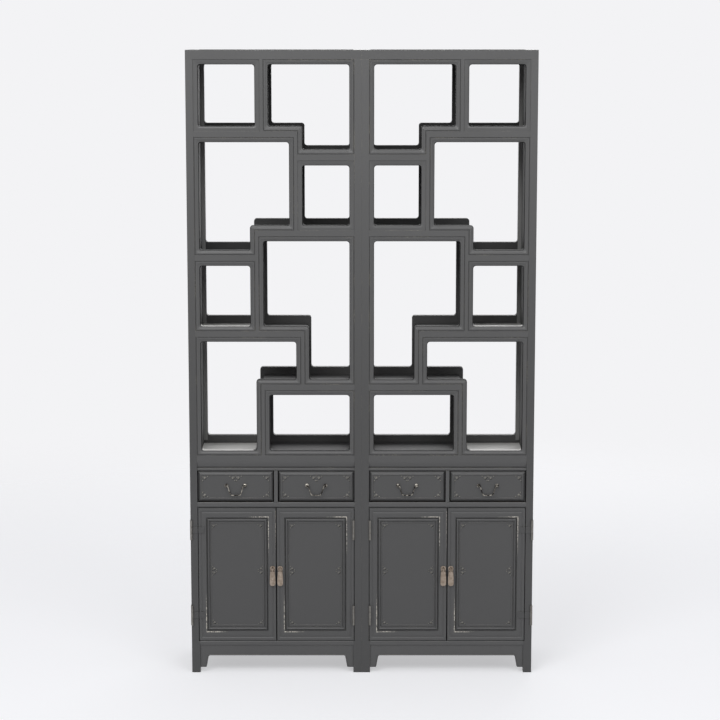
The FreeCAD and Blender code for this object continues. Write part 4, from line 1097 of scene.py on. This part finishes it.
def add_plate(side, ends_mm, front, rear, foot, height):
    """Add a flat plate between two distances from X = 0, on the cabinet of the given side."""
    near_end, far_end = sorted(SIGN[side] * end * MM for end in ends_mm)
    add_block((near_end, front, foot), (far_end, rear, foot + height))


low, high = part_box("left_post_hinges")
hinge_feet = (low.z, high.z - HINGE_MM * MM)
for side in SIDES:
    fixed = start_piece(side + "_fixed_barrels")
    for half in HALVES:
        for foot in hinge_feet:
            for rise in (0.0, HINGE_MM - KNUCKLE_MM):
                add_knuckle(fixed, side, half, foot + rise * MM)
            add_plate(side, LEAF_MM[half], HINGE_Y, LEAF_REAR, foot, HINGE_MM * MM)
    end_piece(fixed, DULL_BRASS, "cabinets", [side + "_post_hinges"])
print("hinge feet", [round(foot, 4) for foot in hinge_feet])

# %% [markdown]
# Where a strap bends over the gap between post and door, it is painted black, a painted shade, so that the
# dark line of the gap seems to run through it.

# %% Moving knuckles, straps and leaves
GAP_MM = (525.0, 527.0)
STRAPS_MM = {"outer": ((505.0, GAP_MM[0]), GAP_MM, (GAP_MM[1], 545.0)), "inner": ((25.0, 24.2),)}
STRAP_FRONT = {"outer": door_face - 1.2 * MM, "inner": HINGE_Y}
STRAP_FINISH = {"outer": (POST_LACQUER, "grey_lacquer"), "inner": (DULL_BRASS, "brass")}

for side in SIDES:
    for half in HALVES:
        prefix = "%s_%s_" % (side, half)
        moving = start_piece(prefix + "moving_barrels")
        plates = start_piece(prefix + "hinge_plates")
        for foot in hinge_feet:
            start = foot + (KNUCKLE_MM + KNUCKLE_GAP_MM) * MM
            edit(moving)
            add_knuckle(moving, side, half, start)
            edit(plates)
            for ends_mm in STRAPS_MM[half]:
                add_plate(side, ends_mm, STRAP_FRONT[half], door_face, start, KNUCKLE_MM * MM)
        finish, slot = STRAP_FINISH[half]
        end_piece(moving, DULL_BRASS, prefix + "door", [prefix + "door_hinges"])
        end_piece(plates, finish, prefix + "door")
        # Over the gap the strap is painted black: a painted shade.
        plates.data.materials.append(PAINTED_SHADE_BLACK)
        for face in plates.data.polygons:
            over_gap = half == "outer" and GAP_MM[0] * MM < abs(face.center.x) < GAP_MM[1] * MM
            face.material_index = 1 if over_gap else 0
        print(prefix + "hinges, faces:", len(moving.data.polygons), len(plates.data.polygons))

# %% [markdown]
# ## Carved corners
# The corners of the panels and drawer fronts carry a small scroll in low relief, a common ornament in this
# kind of furniture, rubbed pale where it stands proud. One scroll is a thin wire wound in a spiral, with
# three small beads; the others are turned copies of it, and all scrolls of one board are joined.

# %% One scroll
SCROLL_START = (0.6, -0.6)
SCROLL_EYE = (5.4, -5.6)
SCROLL_MM = 6.4
SCROLL_TURNS = 1.25
SCROLL_TAPER = 0.75
SCROLL_STEPS = 14
SCROLL_RADIUS = 0.95 * MM
EYE_PROFILE = ((0.0, -2.0), (1.0, -1.6), (1.7, 0.0))
BEAD_PROFILE = ((0.0, -1.6), (0.8, -1.2), (1.3, 0.0))
# Each bead of a scroll, across and up in millimetres, with its profile.
SCROLL_BEADS = ((SCROLL_EYE, EYE_PROFILE), ((1.6, -11.0), BEAD_PROFILE), ((11.4, -2.0), BEAD_PROFILE))

scroll_spots = [Vector((SCROLL_START[0], 0, SCROLL_START[1])) * MM]
for step in range(SCROLL_STEPS + 1):
    angle = math.tau * SCROLL_TURNS * step / SCROLL_STEPS
    radius = SCROLL_MM * (1 - SCROLL_TAPER * step / SCROLL_STEPS) / 2
    across, up = SCROLL_EYE[0] - radius * math.cos(angle), SCROLL_EYE[1] + radius * math.sin(angle)
    scroll_spots.append(Vector((across, 0, up)) * MM)
scroll = bent_wire("scroll_stock", scroll_spots, SCROLL_RADIUS, resolution=1)
edit(scroll)
for (across, up), profile in SCROLL_BEADS:
    add_turning(scroll, profile, (across * MM, 0, up * MM), (0, 1, 0), steps=8)
only(scroll)
print("scroll faces:", len(scroll.data.polygons))

# %% [markdown]
# A relief this low needs a shadow to be seen. Each scroll has a black twin, shifted down and sunk a little:
# a painted shadow under the carving.

# %% A set of scrolls on one board
SHADOW_SHIFT = Vector((0.8, 0.5, -1.3)) * MM
BEAD_PROUD = 1.0 * MM


def corner_places(left, right, foot, top):
    """Four corners as (x, z, across, up), where across and up are 1 or -1 and turn the scroll over."""
    return [(left, top, 1, 1), (right, top, -1, 1), (left, foot, 1, -1), (right, foot, -1, -1)]


def carve(name, places, y, size):
    """Join copies of the scroll, at the given places and size, into one piece."""
    copies = []
    for x, z, across, up in places:
        # The second copy of each scroll is its painted shadow.
        for shift, finish in ((Vector(), CARVED_LACQUER), (SHADOW_SHIFT, PAINTED_SHADE_BLACK)):
            own = scroll.copy()
            own.data = scroll.data.copy()
            own.data.materials.clear()
            own.data.materials.append(finish)
            scene.collection.objects.link(own)
            own.location = Vector((x, y, z)) + shift
            own.scale = (across * size, 1, up * size)
            copies.append(own)
    only(copies[0])
    for own in copies:
        own.select_set(True)
    bpy.ops.object.transform_apply(location=True, rotation=True, scale=True)
    bpy.ops.object.join()
    board = bpy.context.object
    board.name = name
    edit(board)
    turn_outwards()
    only(board)
    board.data.materials.append(BEAD_LACQUER)
    for face in board.data.polygons:
        carved = board.data.materials[face.material_index] == CARVED_LACQUER
        if carved and face.center.y < y - BEAD_PROUD:
            face.material_index = len(board.data.materials) - 1
    return board


# %% Scrolls on the door panels
PANEL_DROP = 6 * MM
MIDDLE_LIFT = 12 * MM
DOOR_SCROLL_SIZE = 1.3

left, right = door_low.x + STILE_WIDTH * MM, door_high.x - STILE_WIDTH * MM
foot, top = door_low.z + DOOR_RAIL_WIDTH * MM, door_high.z - DOOR_RAIL_WIDTH * MM
half_up = (foot + top) / 2 + MIDDLE_LIFT
places = corner_places(left, right, foot, top) + corner_places(left, right, half_up, half_up)
door_carving = carve("door_carving", places, door_face + PANEL_DROP, DOOR_SCROLL_SIZE)
set_out(door_carving, "panel_carving", "door_frame", "door", None, replace=False)

# %% Scrolls on the drawer fronts
FIELD_DROP = 2.0 * MM
FIELD_INSET = 12 * MM
DRAWER_SCROLL_SIZE = 1.6

left, right = drawer_low.x + FIELD_INSET, drawer_high.x - FIELD_INSET
foot, top = drawer_low.z + FIELD_INSET, drawer_high.z - FIELD_INSET
middle = (left + right) / 2
places = corner_places(left, right, foot, top) + [(middle, top, 1, 1), (middle, top, -1, 1)]
drawer_carving = carve("drawer_carving", places, front_plane + FIELD_DROP, DRAWER_SCROLL_SIZE)
set_out(drawer_carving, "drawer_carving", "drawer_front", "drawer", None, replace=False)
bpy.data.objects.remove(scroll)

# %% [markdown]
# ## Bead under the apron
# A thin bead follows the lower edge of the apron and runs down its two brackets.

# %% Apron bead
APRON_BEAD_RADIUS = 1.7 * MM
APRON_BEAD_SPOTS = ((18.0, 18.0), (20.0, 26.0), (24.8, 53.0), (27.2, 57.6), (32.0, 58.4))

low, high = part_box("left_apron")
half_way = [Vector((low.x + across * MM, low.y, up * MM)) for across, up in APRON_BEAD_SPOTS]
other_way = [Vector((low.x + high.x - spot.x, spot.y, spot.z)) for spot in reversed(half_way)]
bead = bent_wire("apron_bead_stock", half_way + other_way, APRON_BEAD_RADIUS, resolution=1)
for side in SIDES:
    own = copy_piece(bead, side + "_apron_bead", flip_x=side == "right")
    end_piece(own, GREY_LACQUER, "cabinets")
print("apron bead faces:", len(bead.data.polygons))
bpy.data.objects.remove(bead)
